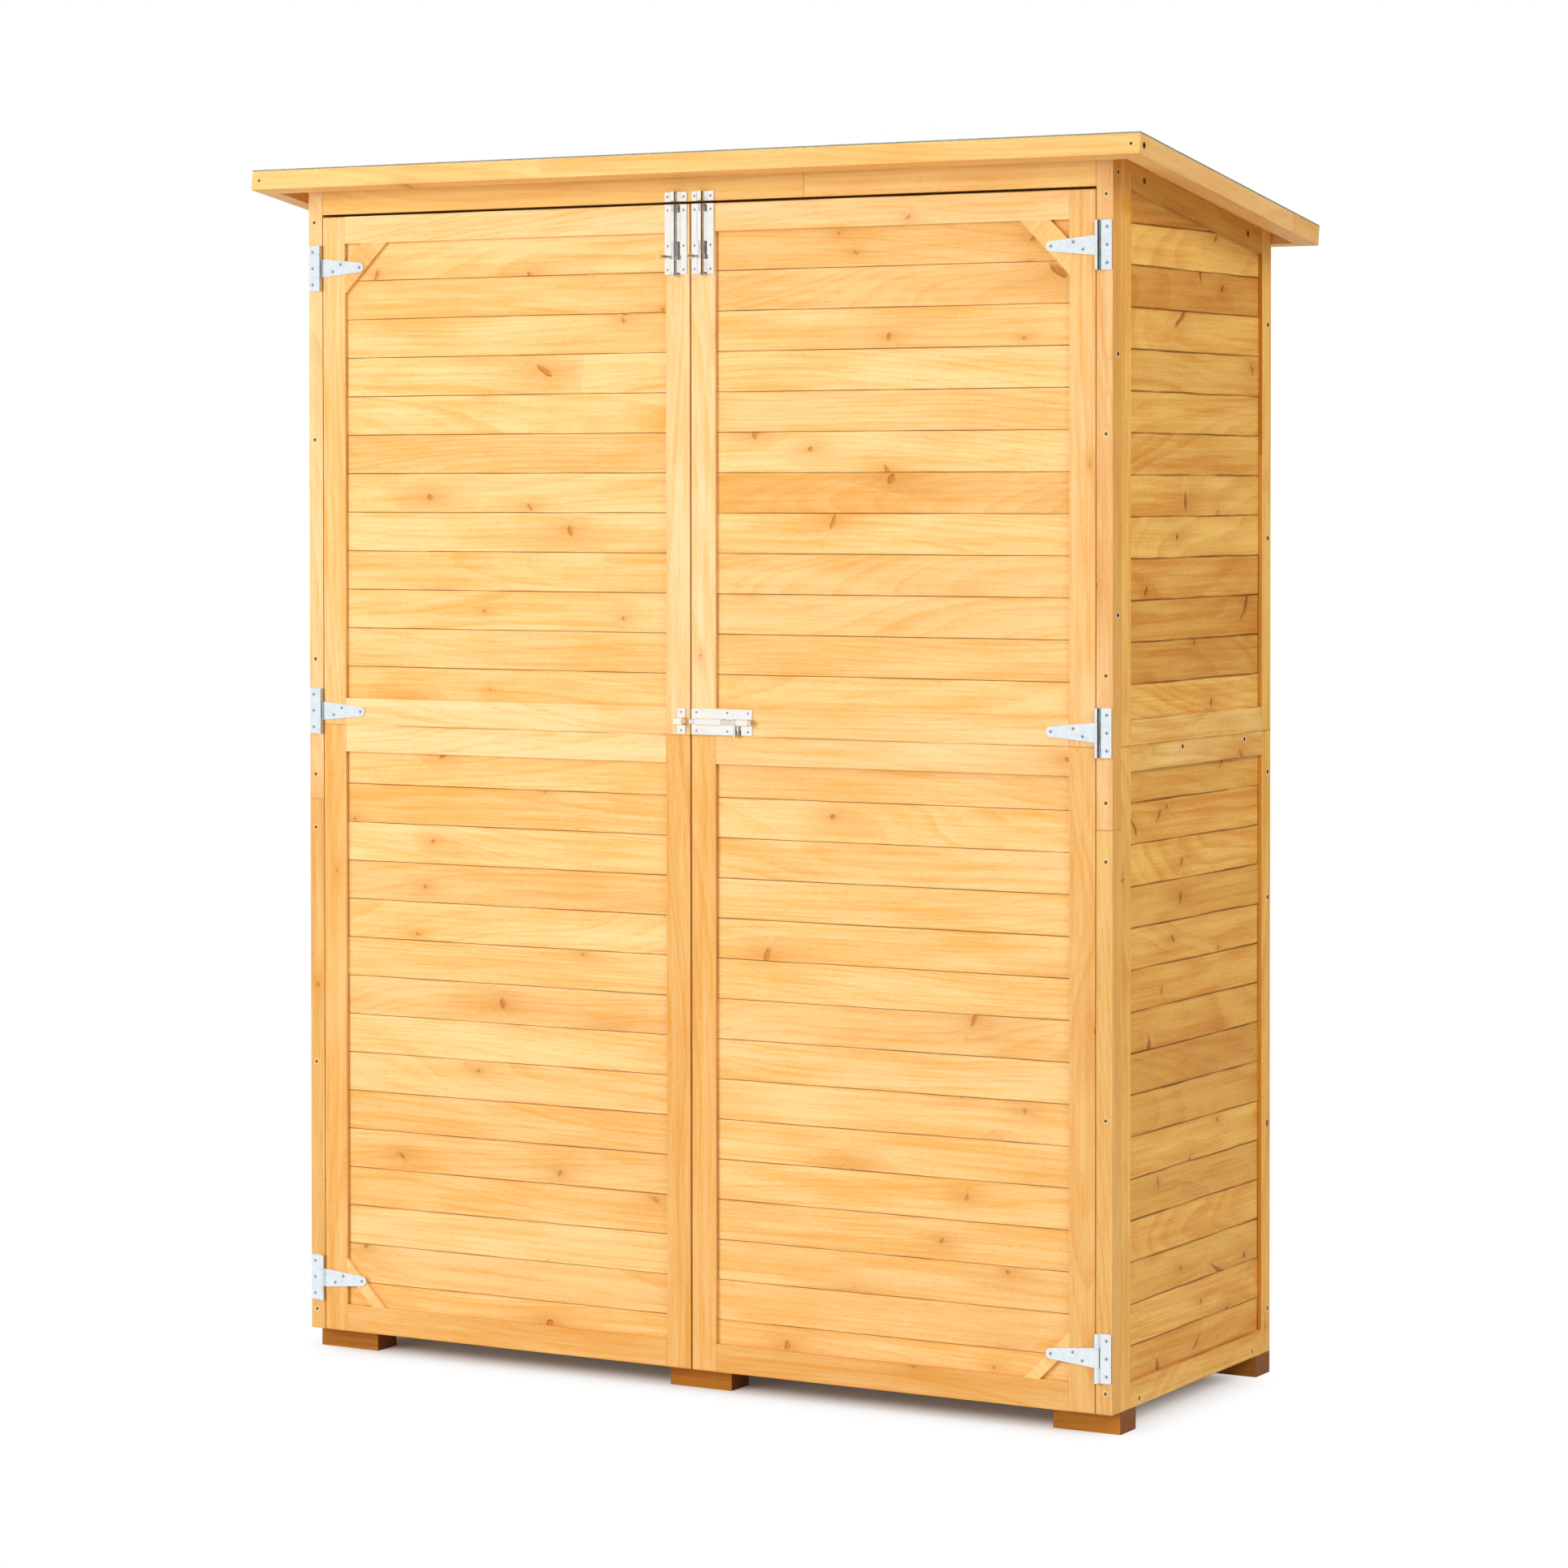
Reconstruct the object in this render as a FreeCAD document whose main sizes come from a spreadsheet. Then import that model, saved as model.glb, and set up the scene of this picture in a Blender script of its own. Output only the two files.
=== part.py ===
"""Garden storage cabinet: a fir cabinet with two slatted doors and a roof that falls to the rear.

The frame stands on the floor, +Z up, with the doors facing -Y and the origin under the middle of
the whole object. Every wall and door is a framed panel: grooved battens round a stack of slats.
Lengths are in millimetres and angles in degrees.
"""
import FreeCAD, Part
import math
import os
import Sketcher

doc = FreeCAD.newDocument("GardenCabinet")

# The driving sizes, each with what it measures on the real cabinet.
SIZES = (
    ("body_width", 1200, "outside of one side wall to the outside of the other"),
    ("body_depth", 482, "face of the doors to the back of the rear wall"),
    ("foot_height", 28, "thickness of the blocks under the body"),
    ("foot_width", 92, "length of a foot block along the front"),
    ("foot_depth", 44, "width of a foot block from front to rear"),
    ("lower_panel_height", 820, "height of each lower wall and door panel"),
    ("door_height", 1503.5, "both panels of a door together"),
    ("door_side_gap", 1.5, "door edge to post"),
    ("door_meeting_gap", 3, "between the two doors"),
    ("header_gap", 3.5, "top of the doors to the header board"),
    ("header_height", 35, "height of the header board"),
    ("header_left_length", 745, "left one of the header's two boards"),
    ("post_width", 22, "front strip seen from the front"),
    ("door_back_gap", 2, "back of the doors to the walls and the floor frame"),
    ("post_lower_length", 718.5, "lower one of a post's two lengths"),
    ("panel_thickness", 22, "thickness of the battens of every panel"),
    ("panel_lip", 5, "batten face to the face of the slats"),
    ("slat_thickness", 12, "thickness of a slat"),
    ("slat_pitch", 51.8, "one slat to the next"),
    ("slat_gap", 0.5, "open joint between two slats"),
    ("groove_depth", 9, "groove in the battens that holds the slats"),
    ("groove_play", 0.2, "slat face to the wall of its groove"),
    ("groove_end_play", 0.5, "slat end to the bottom of its groove"),
    ("door_stile_width", 35, "upright batten of a door panel"),
    ("door_rail_width", 36, "level batten of a door panel"),
    ("wall_stile_width", 28, "upright batten of a wall panel"),
    ("wall_rail_width", 32, "level batten of a wall panel"),
    ("upper_brace_outer", 68, "leg of the upper corner strip, long side"),
    ("upper_brace_inner", 27, "leg of the upper corner strip, short side"),
    ("lower_brace_outer", 62, "leg of the lower corner strip, long side"),
    ("lower_brace_inner", 41, "leg of the lower corner strip, short side"),
    ("floor_frame_thickness", 18, "battens under the floor boards"),
    ("floor_long_width", 36, "floor batten that runs along the front or the rear"),
    ("floor_cross_width", 28, "floor batten that runs from front to rear"),
    ("floor_board_thickness", 12, "boards of the floor and of the shelf"),
    ("board_width", 51.3, "boards of the floor, the shelf and the roof deck"),
    ("board_gap", 0.6, "between two such boards"),
    ("bearer_width", 22, "strips that carry the shelf"),
    ("bearer_height", 18, "strips that carry the shelf"),
    ("shelf_depth", 268, "shelf from its front edge to the rear wall"),
    ("roof_pitch", 8.8, "fall of the roof to the rear, in degrees"),
    ("roof_seat", 0.3, "highest of the walls to the underside of the deck"),
    ("roof_side_overhang", 59, "side wall to the outside of the roof"),
    ("roof_front_reach", 49.2, "door face line to the roof's front edge, along the slope"),
    ("roof_rear_reach", 21.2, "rear wall line to the roof's rear edge, along the slope"),
    ("deck_thickness", 12, "roof boards"),
    ("felt_thickness", 2, "roofing felt"),
    ("fascia_thickness", 28, "batten round the roof, seen from above"),
    ("fascia_height", 25, "batten round the roof, seen from the side"),
    ("rear_fascia_thickness", 18, "thinner batten along the rear of the roof"),
    ("fascia_left_length", 461, "left one of the front fascia's two lengths"),
    ("fascia_offcut_length", 85, "short rear length of each side fascia"),
    ("purlin_width", 22, "batten under the deck, seen from above"),
    ("purlin_height", 30, "batten under the deck, seen from the side"),
    ("front_purlin_reach", 92, "door face line to the front purlin, along the slope"),
    ("rear_purlin_reach", 76, "rear wall line to the rear purlin, along the slope"),
    ("leaf_thickness", 1.5, "sheet of the hinges"),
    ("knuckle_radius", 3.2, "rolled barrel of the hinges"),
    ("knuckle_play", 0.3, "between two knuckles, and between barrel and wood"),
    ("pin_radius", 1.6, "hinge pin"),
    ("pin_play", 0.05, "hinge pin to the inside of a knuckle"),
    ("hinge_set", 2.5, "inner edge of the post to the hinge axis"),
    ("hinge_height", 61, "length of the leaf on the post"),
    ("leaf_width", 18.6, "hinge axis to the outer edge of the leaf on the post"),
    ("leaf_relief", 3.7, "hinge axis to the leaf beside the middle knuckle"),
    ("strap_width", 24.4, "strap at the barrel"),
    ("strap_reach", 70.5, "hinge axis to the tip of the strap"),
    ("strap_tip_radius", 6.5, "round end of the strap"),
    ("upper_hinge_drop", 68.5, "top of the door to the upper hinge"),
    ("lower_hinge_rise", 69.5, "bottom of the door to the lower hinge"),
    ("bolt_length", 90, "back plate of a barrel bolt"),
    ("bolt_width", 33, "back plate of a barrel bolt"),
    ("bolt_sheet", 1.2, "sheet of the back plate and of the keeper"),
    ("bolt_axis_height", 6.2, "wood to the centre of the rod"),
    ("rod_radius", 3.5, "sliding rod"),
    ("rod_play", 0.06, "rod to its barrels"),
    ("rod_length", 92, "sliding rod"),
    ("rod_point", 1, "broken edge at the rod's tip"),
    ("barrel_wall", 1.3, "wall round the rod"),
    ("long_barrel_start", 10.5, "front edge of the plate to the long barrel"),
    ("long_barrel_length", 37.5, "long barrel"),
    ("knob_travel_room", 23.4, "between the two barrels, where the knob slides"),
    ("short_barrel_length", 16.6, "short barrel"),
    ("collar_width", 5.6, "ring that carries the knob"),
    ("collar_wall", 1.1, "ring that carries the knob"),
    ("grip_root_radius", 2, "neck of the knob's grip, by the ring"),
    ("grip_end_radius", 2.9, "thicker end of the knob's grip"),
    ("grip_end_length", 8, "thicker end of the knob's grip"),
    ("knob_reach", 18.5, "rod centre to the end of the knob"),
    ("knob_stop", 0.4, "collar to a barrel at the end of its travel"),
    ("keeper_width", 12, "keeper along the rod"),
    ("keeper_play", 0.5, "rod to the inside of the keeper"),
    ("door_keeper_set", 6.5, "edge of the left door to its keeper"),
    ("left_bolt_centre", 21.3, "middle of the cabinet to the left door's bolt"),
    ("right_bolt_centre", 19, "middle of the cabinet to the right door's bolt"),
    ("top_keeper_set", 0.3, "bottom of the header to its keepers"),
)
sheet = doc.addObject("Spreadsheet::Sheet", "Sizes")
for row, (alias, number, meaning) in enumerate(SIZES, start=1):
    sheet.set(f"A{row}", str(number))
    sheet.setAlias(f"A{row}", alias)
    sheet.set(f"B{row}", meaning)
doc.recompute()


class Formula(str):
    """A length worked out from the sheet: text for an expression that can be added to or scaled."""

    def __add__(self, other):
        return Formula(f"({self}) + ({other})")

    def __sub__(self, other):
        return Formula(f"({self}) - ({other})")

    def __mul__(self, other):
        return Formula(f"({self}) * ({other})")

    def __truediv__(self, other):
        return Formula(f"({self}) / ({other})")

    def __neg__(self):
        return Formula(f"0 - ({self})")

    def number(self):
        """The value of the formula with the sizes as they stand."""
        return float(sheet.evalExpression(str(self)))


def size(alias):
    """The formula that reads one driving size."""
    return Formula(f"Sizes.{alias}")


ZERO = Formula("0")
PLANES = {"front": "XZ_Plane", "level": "XY_Plane", "side": "YZ_Plane"}
pieces = []


def piece(name, kind="PartDesign::Body"):
    """Start a sub-part. Its label is the name that it is written under."""
    made = doc.addObject(kind, name)
    made.Label = name
    pieces.append(made)
    return made


def batten_set(name):
    """Start a body that becomes one member of an assembled sub-part."""
    return doc.addObject("PartDesign::Body", name)


def assembled(name, members):
    """A sub-part of several lengths of wood that butt against one another without merging."""
    made = piece(name, "Part::Compound")
    made.Links = members
    return made


def place(made, x=ZERO, y=ZERO, z=ZERO, turn=None):
    """Put a sub-part's own origin at x, y, z, turned by an (axis, degrees) pair."""
    if turn:
        axis, degrees = turn
        made.Placement = FreeCAD.Placement(FreeCAD.Vector(), FreeCAD.Rotation(FreeCAD.Vector(*axis), degrees))
    for letter, formula in zip("xyz", (x, y, z)):
        made.setExpression(f"Placement.Base.{letter}", formula)
    return made


def sketch(body, view, shift=ZERO):
    """An empty sketch on one of the body's origin planes, moved along the plane's normal."""
    plane = next(item for item in body.Origin.OriginFeatures if item.Role == PLANES[view])
    drawn = body.newObject("Sketcher::SketchObject", "outline")
    drawn.AttachmentSupport = [(plane, "")]
    drawn.MapMode = "FlatFace"
    drawn.setExpression("AttachmentOffset.Base.z", shift)
    return drawn


def pin_point(drawn, item, point, across, up):
    """Hold one point of a sketch at (across, up) from the sketch's origin."""
    for axis, formula in (("X", across), ("Y", up)):
        number = drawn.addConstraint(Sketcher.Constraint("Distance" + axis, -1, 1, item, point, 1.0))
        drawn.renameConstraint(number, f"{axis}{item}")
        drawn.setExpression(f"Constraints.{axis}{item}", formula)


def outline(body, view, corners, shift=ZERO):
    """A closed straight-sided outline through the corners, each an (across, up) pair of formulas."""
    drawn = sketch(body, view, shift)
    count = len(corners)
    for item in range(count):
        start = FreeCAD.Vector(item, item * item, 0)
        end = FreeCAD.Vector(item + 1, (item + 1) ** 2, 0)
        drawn.addGeometry(Part.LineSegment(start, end), False)
    for item in range(count):
        drawn.addConstraint(Sketcher.Constraint("Coincident", item, 2, (item + 1) % count, 1))
    for item, (across, up) in enumerate(corners):
        pin_point(drawn, item, 1, across, up)
    return drawn


def rectangle(body, view, low, high, shift=ZERO):
    """An outline from the low corner to the high corner."""
    corners = ((low[0], low[1]), (high[0], low[1]), (high[0], high[1]), (low[0], high[1]))
    return outline(body, view, corners, shift)


def circle(body, view, centre, radius, shift=ZERO):
    """A circle of the given radius about the centre."""
    drawn = sketch(body, view, shift)
    drawn.addGeometry(Part.Circle(FreeCAD.Vector(0, 0, 0), FreeCAD.Vector(0, 0, 1), 1), False)
    pin_point(drawn, 0, 3, *centre)
    number = drawn.addConstraint(Sketcher.Constraint("Radius", 0, 1.0))
    drawn.renameConstraint(number, "radius")
    drawn.setExpression("Constraints.radius", radius)
    return drawn


def pad(body, drawn, length):
    """Raise a sketch into a solid by the given length along its plane's normal."""
    made = body.newObject("PartDesign::Pad", "pad")
    made.Profile = drawn
    made.setExpression("Length", length)
    return made


def cut_through(body, drawn):
    """Cut a sketch right through the body, both ways from its plane."""
    made = body.newObject("PartDesign::Pocket", "cut")
    made.Profile = drawn
    made.Type = "ThroughAll"
    made.SideType = "Symmetric"
    return made


def repeat(body, made, axis, spacing, count):
    """Repeat one feature along an axis of the body, a fixed spacing apart."""
    line = next(item for item in body.Origin.OriginFeatures if item.Role == axis)
    pattern = body.newObject("PartDesign::LinearPattern", "row")
    pattern.Originals = [made]
    pattern.Direction = (line, [""])
    pattern.Mode = "Spacing"
    pattern.setExpression("Offset", spacing)
    pattern.setExpression("Occurrences", count)
    body.Tip = pattern
    return pattern


def both_sides(body):
    """Mirror everything in the body to the other side of the cabinet's middle plane."""
    doc.recompute()
    plane = next(item for item in body.Origin.OriginFeatures if item.Role == "YZ_Plane")
    made = body.newObject("PartDesign::Mirrored", "other_side")
    made.MirrorPlane = (plane, [""])
    made.TransformMode = "Whole shape"
    body.Tip = made
    return made


def mirror_image(name, source):
    """The left-hand twin of a right-hand sub-part, mirrored about the cabinet's middle plane."""
    twin = piece(name, "Part::Mirroring")
    twin.Source = source
    twin.Normal = FreeCAD.Vector(1, 0, 0)
    return twin


def bar(name, low, high):
    """A plain square-cut board from its low corner to its high corner."""
    board = piece(name, "Part::Box")
    for side, start, end in zip(("Length", "Width", "Height"), low, high):
        board.setExpression(side, end - start)
    return place(board, *low)


# Lines that several pieces share.
half_width = size("body_width") / 2
half_inside = half_width - size("post_width")
wall_inside = half_width - size("panel_thickness")
post_depth = size("panel_thickness") + size("door_back_gap")
fall = Formula("tan(Sizes.roof_pitch)")
along_slope = size("body_depth") / Formula("cos(Sizes.roof_pitch)")
fascia_bottom = size("deck_thickness") - size("fascia_height")
felt_top = size("deck_thickness") + size("felt_thickness")
front_reach = size("roof_front_reach") * "cos(Sizes.roof_pitch)" - fascia_bottom * "sin(Sizes.roof_pitch)"
rear_reach = (
    size("body_depth")
    + size("roof_rear_reach") * "cos(Sizes.roof_pitch)"
    + felt_top * "sin(Sizes.roof_pitch)"
)
door_face = (front_reach - rear_reach) / 2
wall_front = door_face + post_depth
wall_rear = door_face + size("body_depth")
inside_rear = wall_rear - size("panel_thickness")
base = size("foot_height")
split = base + size("lower_panel_height")
door_top = base + size("door_height")
header_bottom = door_top + size("header_gap")
front_top = header_bottom + size("header_height")
deck_line = front_top + size("roof_seat") + fall * post_depth


def underside(behind):
    """Height of the underside of the roof deck at a distance behind the face of the doors."""
    return deck_line - fall * behind


# The framed panel: two grooved stiles, two grooved rails with stub tenons, and loose slats.
slat_front = size("panel_lip")
slat_back = slat_front + size("slat_thickness")
groove_front = slat_front - size("groove_play")
groove_back = slat_back + size("groove_play")


def layered(body, corners, front, back):
    """Raise an elevation outline into a layer that lies between two depths of the panel."""
    return pad(body, outline(body, "front", corners, -back), back - front)


def stile(body, edge, inner, height):
    """An upright batten from z = 0. The groove for the slats runs down its inner side."""
    way = 1 if inner.number() > edge.number() else -1
    bottom = inner - size("groove_depth") * way
    corners = (
        (edge, ZERO),
        (inner, ZERO),
        (inner, groove_front),
        (bottom, groove_front),
        (bottom, groove_back),
        (inner, groove_back),
        (inner, size("panel_thickness")),
        (edge, size("panel_thickness")),
    )
    return pad(body, outline(body, "level", corners), height)


def rail(body, half_length, lower, upper, groove_side, drop=ZERO):
    """A batten between the stiles, grooved above or below, whose right end lies lower by drop.

    It is three layers: a front lip, a core that is thinner by the groove and runs on into the
    stiles as tenons, and a rear lip.
    """
    tenon = half_length + size("groove_depth") - size("groove_end_play")
    tilt = drop / (half_length * 2)
    core_lower = lower + size("groove_depth") if groove_side == "lower" else lower
    core_upper = upper - size("groove_depth") if groove_side == "upper" else upper

    def leaning(half, low, high):
        left = tilt * (half - half_length)
        right = drop + left
        return ((-half, low + left), (half, low - right), (half, high - right), (-half, high + left))

    layered(body, leaning(half_length, lower, upper), ZERO, groove_front)
    layered(body, leaning(tenon, core_lower, core_upper), groove_front, groove_back)
    layered(body, leaning(half_length, lower, upper), groove_back, size("panel_thickness"))


def slats(name, half_length, bottom, top, laid_from, cut_corners=None):
    """Slats stacked between the grooves, laid from one end, with the last one ripped to fit."""

    def slat(lowest, highest):
        section = rectangle(body, "side", (slat_front, lowest), (slat_back, highest), -reach)
        return pad(body, section, reach * 2)

    body = piece(name)
    reach = half_length + size("groove_depth") - size("groove_end_play")
    low = bottom - size("groove_depth") + size("groove_end_play")
    high = top + size("groove_depth") - size("groove_end_play")
    room = high - low
    pitch = size("slat_pitch")
    face = pitch - size("slat_gap")
    count = Formula(f"floor(({room + size('slat_gap')}) / ({pitch}))")
    full = pitch * count
    rest = room - full
    first = low if laid_from == "bottom" else high - full + size("slat_gap")
    repeat(body, slat(first, first + face), "Z_Axis", pitch, count)
    least = size("groove_depth") + size("slat_thickness") / 4
    if rest.number() > least.number():
        start = low + full if laid_from == "bottom" else low
        slat(start, high if laid_from == "bottom" else high - full)
    if cut_corners:
        cut_through(body, outline(body, "front", cut_corners))
    return body


# Doors. Each is an upper and a lower panel, one above the other, with corner strips by the hinges.
door_half = (half_inside - size("door_side_gap") - size("door_meeting_gap") / 2) / 2
door_centre = size("door_meeting_gap") / 2 + door_half
door_inner_half = door_half - size("door_stile_width")
door_levels = (
    ("lower", base, size("lower_panel_height"), "top"),
    ("upper", split, size("door_height") - size("lower_panel_height"), "bottom"),
)
for level, level_base, level_height, laid_from in door_levels:
    spot = {"x": door_centre, "y": door_face, "z": level_base}
    stiles = place(piece(f"door_right_{level}_stiles"), **spot)
    stile(stiles, door_half, door_inner_half, level_height)
    both_sides(stiles)
    rails = place(piece(f"door_right_{level}_rails"), **spot)
    inner_low = size("door_rail_width")
    inner_high = level_height - size("door_rail_width")
    rail(rails, door_inner_half, ZERO, inner_low, "upper")
    rail(rails, door_inner_half, inner_high, level_height, "lower")
    boards = slats(f"door_right_{level}_slats", door_inner_half, inner_low, inner_high, laid_from)
    place(boards, **spot)
    for part_name, source in (("stiles", stiles), ("rails", rails), ("slats", boards)):
        mirror_image(f"door_left_{level}_{part_name}", source)

braces = place(piece("door_right_corner_strips"), x=door_centre, y=door_face, z=base)
strip_inner = size("door_height") - size("door_rail_width")
for corner_up, way, kind in ((strip_inner, -1, "upper"), (size("door_rail_width"), 1, "lower")):
    outer = size(f"{kind}_brace_outer")
    inner = size(f"{kind}_brace_inner")
    strip = (
        (door_inner_half - outer, corner_up),
        (door_inner_half - inner, corner_up),
        (door_inner_half, corner_up + inner * way),
        (door_inner_half, corner_up + outer * way),
    )
    layered(braces, strip, ZERO, slat_front)
mirror_image("door_left_corner_strips", braces)

# Side walls. The upper panel's top rail and slats follow the fall of the roof.
side_half = (size("body_depth") - post_depth) / 2
side_inner_half = side_half - size("wall_stile_width")
side_middle = wall_front + side_half
outward = ((0, 0, 1), 90)
side_top_front = underside(post_depth) - size("roof_seat") - split
side_top_rear = underside(size("body_depth")) - size("roof_seat") - split
rail_on_slope = size("wall_rail_width") / Formula("cos(Sizes.roof_pitch)")
rail_top = side_top_front - fall * size("wall_stile_width")
rail_fall = fall * side_inner_half * 2


def wall_frame(name, half, height, top_rail, drop=ZERO):
    """Two stiles and two rails round the slats. The top edge may fall by drop from left to right."""
    inner_half = half - size("wall_stile_width")
    lean = drop / (half * 2)
    stiles = batten_set(f"{name}_stiles")
    stile(stiles, half, inner_half, height)
    both_sides(stiles)
    if drop is not ZERO:
        above = (
            (-half, height),
            (half, height - drop),
            (half, height + size("panel_thickness")),
            (-half, height + size("panel_thickness")),
        )
        cut_through(stiles, outline(stiles, "front", above))
    rails = batten_set(f"{name}_rails")
    top = height - lean * size("wall_stile_width")
    rail(rails, inner_half, ZERO, size("wall_rail_width"), "upper")
    rail(rails, inner_half, top - top_rail, top, "lower", lean * inner_half * 2)
    return assembled(name, [stiles, rails])


lower_spot = {"x": half_width, "y": side_middle, "z": base, "turn": outward}
upper_spot = {"x": half_width, "y": side_middle, "z": split, "turn": outward}
side_drop = side_top_front - side_top_rear
lower_open_top = size("lower_panel_height") - size("wall_rail_width")
lower_frame = wall_frame(
    "side_right_lower_frame",
    side_half,
    size("lower_panel_height"),
    size("wall_rail_width"),
)
upper_frame = wall_frame(
    "side_right_upper_frame",
    side_half,
    side_top_front,
    rail_on_slope,
    side_drop,
)
lower_slats = slats(
    "side_right_lower_slats", side_inner_half, size("wall_rail_width"), lower_open_top, "bottom"
)

# The slats behind the sloping rail are sawn off along the bottom of its groove.
slat_limit = rail_top - rail_on_slope + size("groove_depth") - size("groove_end_play")
slat_reach = side_inner_half + size("groove_depth")
above_slats = (
    (-slat_reach, slat_limit + fall * size("groove_depth")),
    (slat_reach, slat_limit - rail_fall - fall * size("groove_depth")),
    (slat_reach, slat_limit + size("slat_pitch") * 2),
    (-slat_reach, slat_limit + size("slat_pitch") * 2),
)
upper_slats = slats(
    "side_right_upper_slats",
    side_inner_half,
    size("wall_rail_width"),
    slat_limit,
    "bottom",
    above_slats,
)
for made, spot in (
    (lower_frame, lower_spot),
    (lower_slats, lower_spot),
    (upper_frame, upper_spot),
    (upper_slats, upper_spot),
):
    place(made, **spot)
    mirror_image(made.Label.replace("right", "left"), made)

# Rear wall, between the side walls.
rear_inner_half = wall_inside - size("wall_stile_width")
rearward = ((0, 0, 1), 180)
rear_levels = (
    ("lower", base, size("lower_panel_height")),
    ("upper", split, side_top_rear),
)
for level, level_base, level_height in rear_levels:
    spot = {"x": ZERO, "y": wall_rear, "z": level_base, "turn": rearward}
    frame = wall_frame(f"rear_{level}_frame", wall_inside, level_height, size("wall_rail_width"))
    open_top = level_height - size("wall_rail_width")
    boards = slats(f"rear_{level}_slats", rear_inner_half, size("wall_rail_width"), open_top, "bottom")
    place(frame, **spot)
    place(boards, **spot)

# Front posts: strips screwed to the front edges of the side walls, each in two lengths.
post_joint = base + size("post_lower_length")
for level, low, high in (("lower", base, post_joint), ("upper", post_joint, front_top)):
    post = bar(f"post_right_{level}", (half_inside, door_face, low), (half_width, wall_front, high))
    mirror_image(f"post_left_{level}", post)

# Header over the doors: two boards end to end between the posts.
header_joint = size("header_left_length") - half_inside
for side, low, high in (("left", -half_inside, header_joint), ("right", header_joint, half_inside)):
    header_back = door_face + size("panel_thickness")
    bar(f"header_{side}", (low, door_face, header_bottom), (high, header_back, front_top))

# Feet: three blocks at the front and three at the rear, the middle ones on the centre line.
feet = place(piece("feet"))
foot_span = half_width - size("foot_width") / 2
for foot_front in (wall_front, wall_rear - size("foot_depth")):
    foot_low = (-half_width, foot_front)
    foot_high = (size("foot_width") - half_width, foot_front + size("foot_depth"))
    block = pad(feet, rectangle(feet, "level", foot_low, foot_high), size("foot_height"))
    repeat(feet, block, "X_Axis", foot_span, Formula("3"))

# Floor: a flat frame on the feet, with boards laid from front to rear.
floor_top = base + size("floor_frame_thickness")
long_battens = batten_set("floor_frame_long")
cross_battens = batten_set("floor_frame_cross")
frame_front = wall_front + size("floor_long_width")
frame_rear = inside_rear - size("floor_long_width")
for low, high in ((wall_front, frame_front), (frame_rear, inside_rear)):
    drawn = rectangle(long_battens, "level", (-wall_inside, low), (wall_inside, high))
    pad(long_battens, drawn, size("floor_frame_thickness"))
half_cross = size("floor_cross_width") / 2
for middle in (half_cross - wall_inside, ZERO, wall_inside - half_cross):
    low = (middle - half_cross, frame_front)
    high = (middle + half_cross, frame_rear)
    pad(cross_battens, rectangle(cross_battens, "level", low, high), size("floor_frame_thickness"))
place(assembled("floor_frame", [long_battens, cross_battens]), z=base)


def boarding(name, half_length, near, far, thickness):
    """Boards laid from front to rear, evened out in width so that a whole number fills the room."""
    body = piece(name)
    count = Formula(f"floor(({half_length * 2}) / ({size('board_width') + size('board_gap')}))")
    step = half_length * 2 / count
    low = (size("board_gap") / 2 - half_length, near)
    high = (step - size("board_gap") / 2 - half_length, far)
    one = pad(body, rectangle(body, "level", low, high), thickness)
    repeat(body, one, "X_Axis", step, count)
    return body


floor_boards = boarding("floor_boards", wall_inside, wall_front, inside_rear, size("floor_board_thickness"))
place(floor_boards, z=floor_top)

# Shelf over the rear half: long boards on two strips that are screwed to the side walls.
shelf_line = split
shelf_front = inside_rear - size("shelf_depth")
shelf_bearers = place(piece("shelf_bearers"), z=shelf_line - size("bearer_height"))
bearer_low = (wall_inside - size("bearer_width"), shelf_front)
drawn = rectangle(shelf_bearers, "level", bearer_low, (wall_inside, inside_rear))
pad(shelf_bearers, drawn, size("bearer_height"))
both_sides(shelf_bearers)
shelf_boards = place(piece("shelf_boards"), z=shelf_line)
shelf_step = size("board_width") + size("board_gap")
shelf_count = Formula(f"floor(({size('shelf_depth') + size('board_gap')}) / ({shelf_step}))")
shelf_low = (size("board_gap") - wall_inside, shelf_front)
shelf_high = (wall_inside - size("board_gap"), shelf_front + size("board_width"))
drawn = rectangle(shelf_boards, "level", shelf_low, shelf_high)
shelf_board = pad(shelf_boards, drawn, size("floor_board_thickness"))
repeat(shelf_boards, shelf_board, "Y_Axis", shelf_step, shelf_count)

# Roof. Its own frame lies on the underside of the deck, with y running down the slope from the
# face line of the doors, so one turn about X gives the whole roof its fall.
roof_half = half_width + size("roof_side_overhang")
roof_front = -size("roof_front_reach")
roof_rear = along_slope + size("roof_rear_reach")
deck_front = roof_front + size("fascia_thickness")
deck_rear = roof_rear - size("rear_fascia_thickness")


def on_roof(made, height=ZERO):
    """Lay a sub-part on the slope, its own origin a height above the underside of the deck."""
    made.Placement = FreeCAD.Placement(FreeCAD.Vector(), FreeCAD.Rotation(FreeCAD.Vector(-1, 0, 0), 1))
    made.setExpression("Placement.Rotation.Angle", size("roof_pitch"))
    made.setExpression("Placement.Base.y", door_face + height * "sin(Sizes.roof_pitch)")
    made.setExpression("Placement.Base.z", deck_line + height * "cos(Sizes.roof_pitch)")
    return made


def roof_batten(body, low, high, height):
    """A batten of the roof from one corner to the other of its plan."""
    return pad(body, rectangle(body, "level", low, high), height)


purlins = on_roof(piece("roof_purlins"), -size("purlin_height"))
for middle in (size("front_purlin_reach"), along_slope - size("rear_purlin_reach")):
    low = (-wall_inside, middle - size("purlin_width") / 2)
    high = (wall_inside, middle + size("purlin_width") / 2)
    roof_batten(purlins, low, high, size("purlin_height"))

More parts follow.
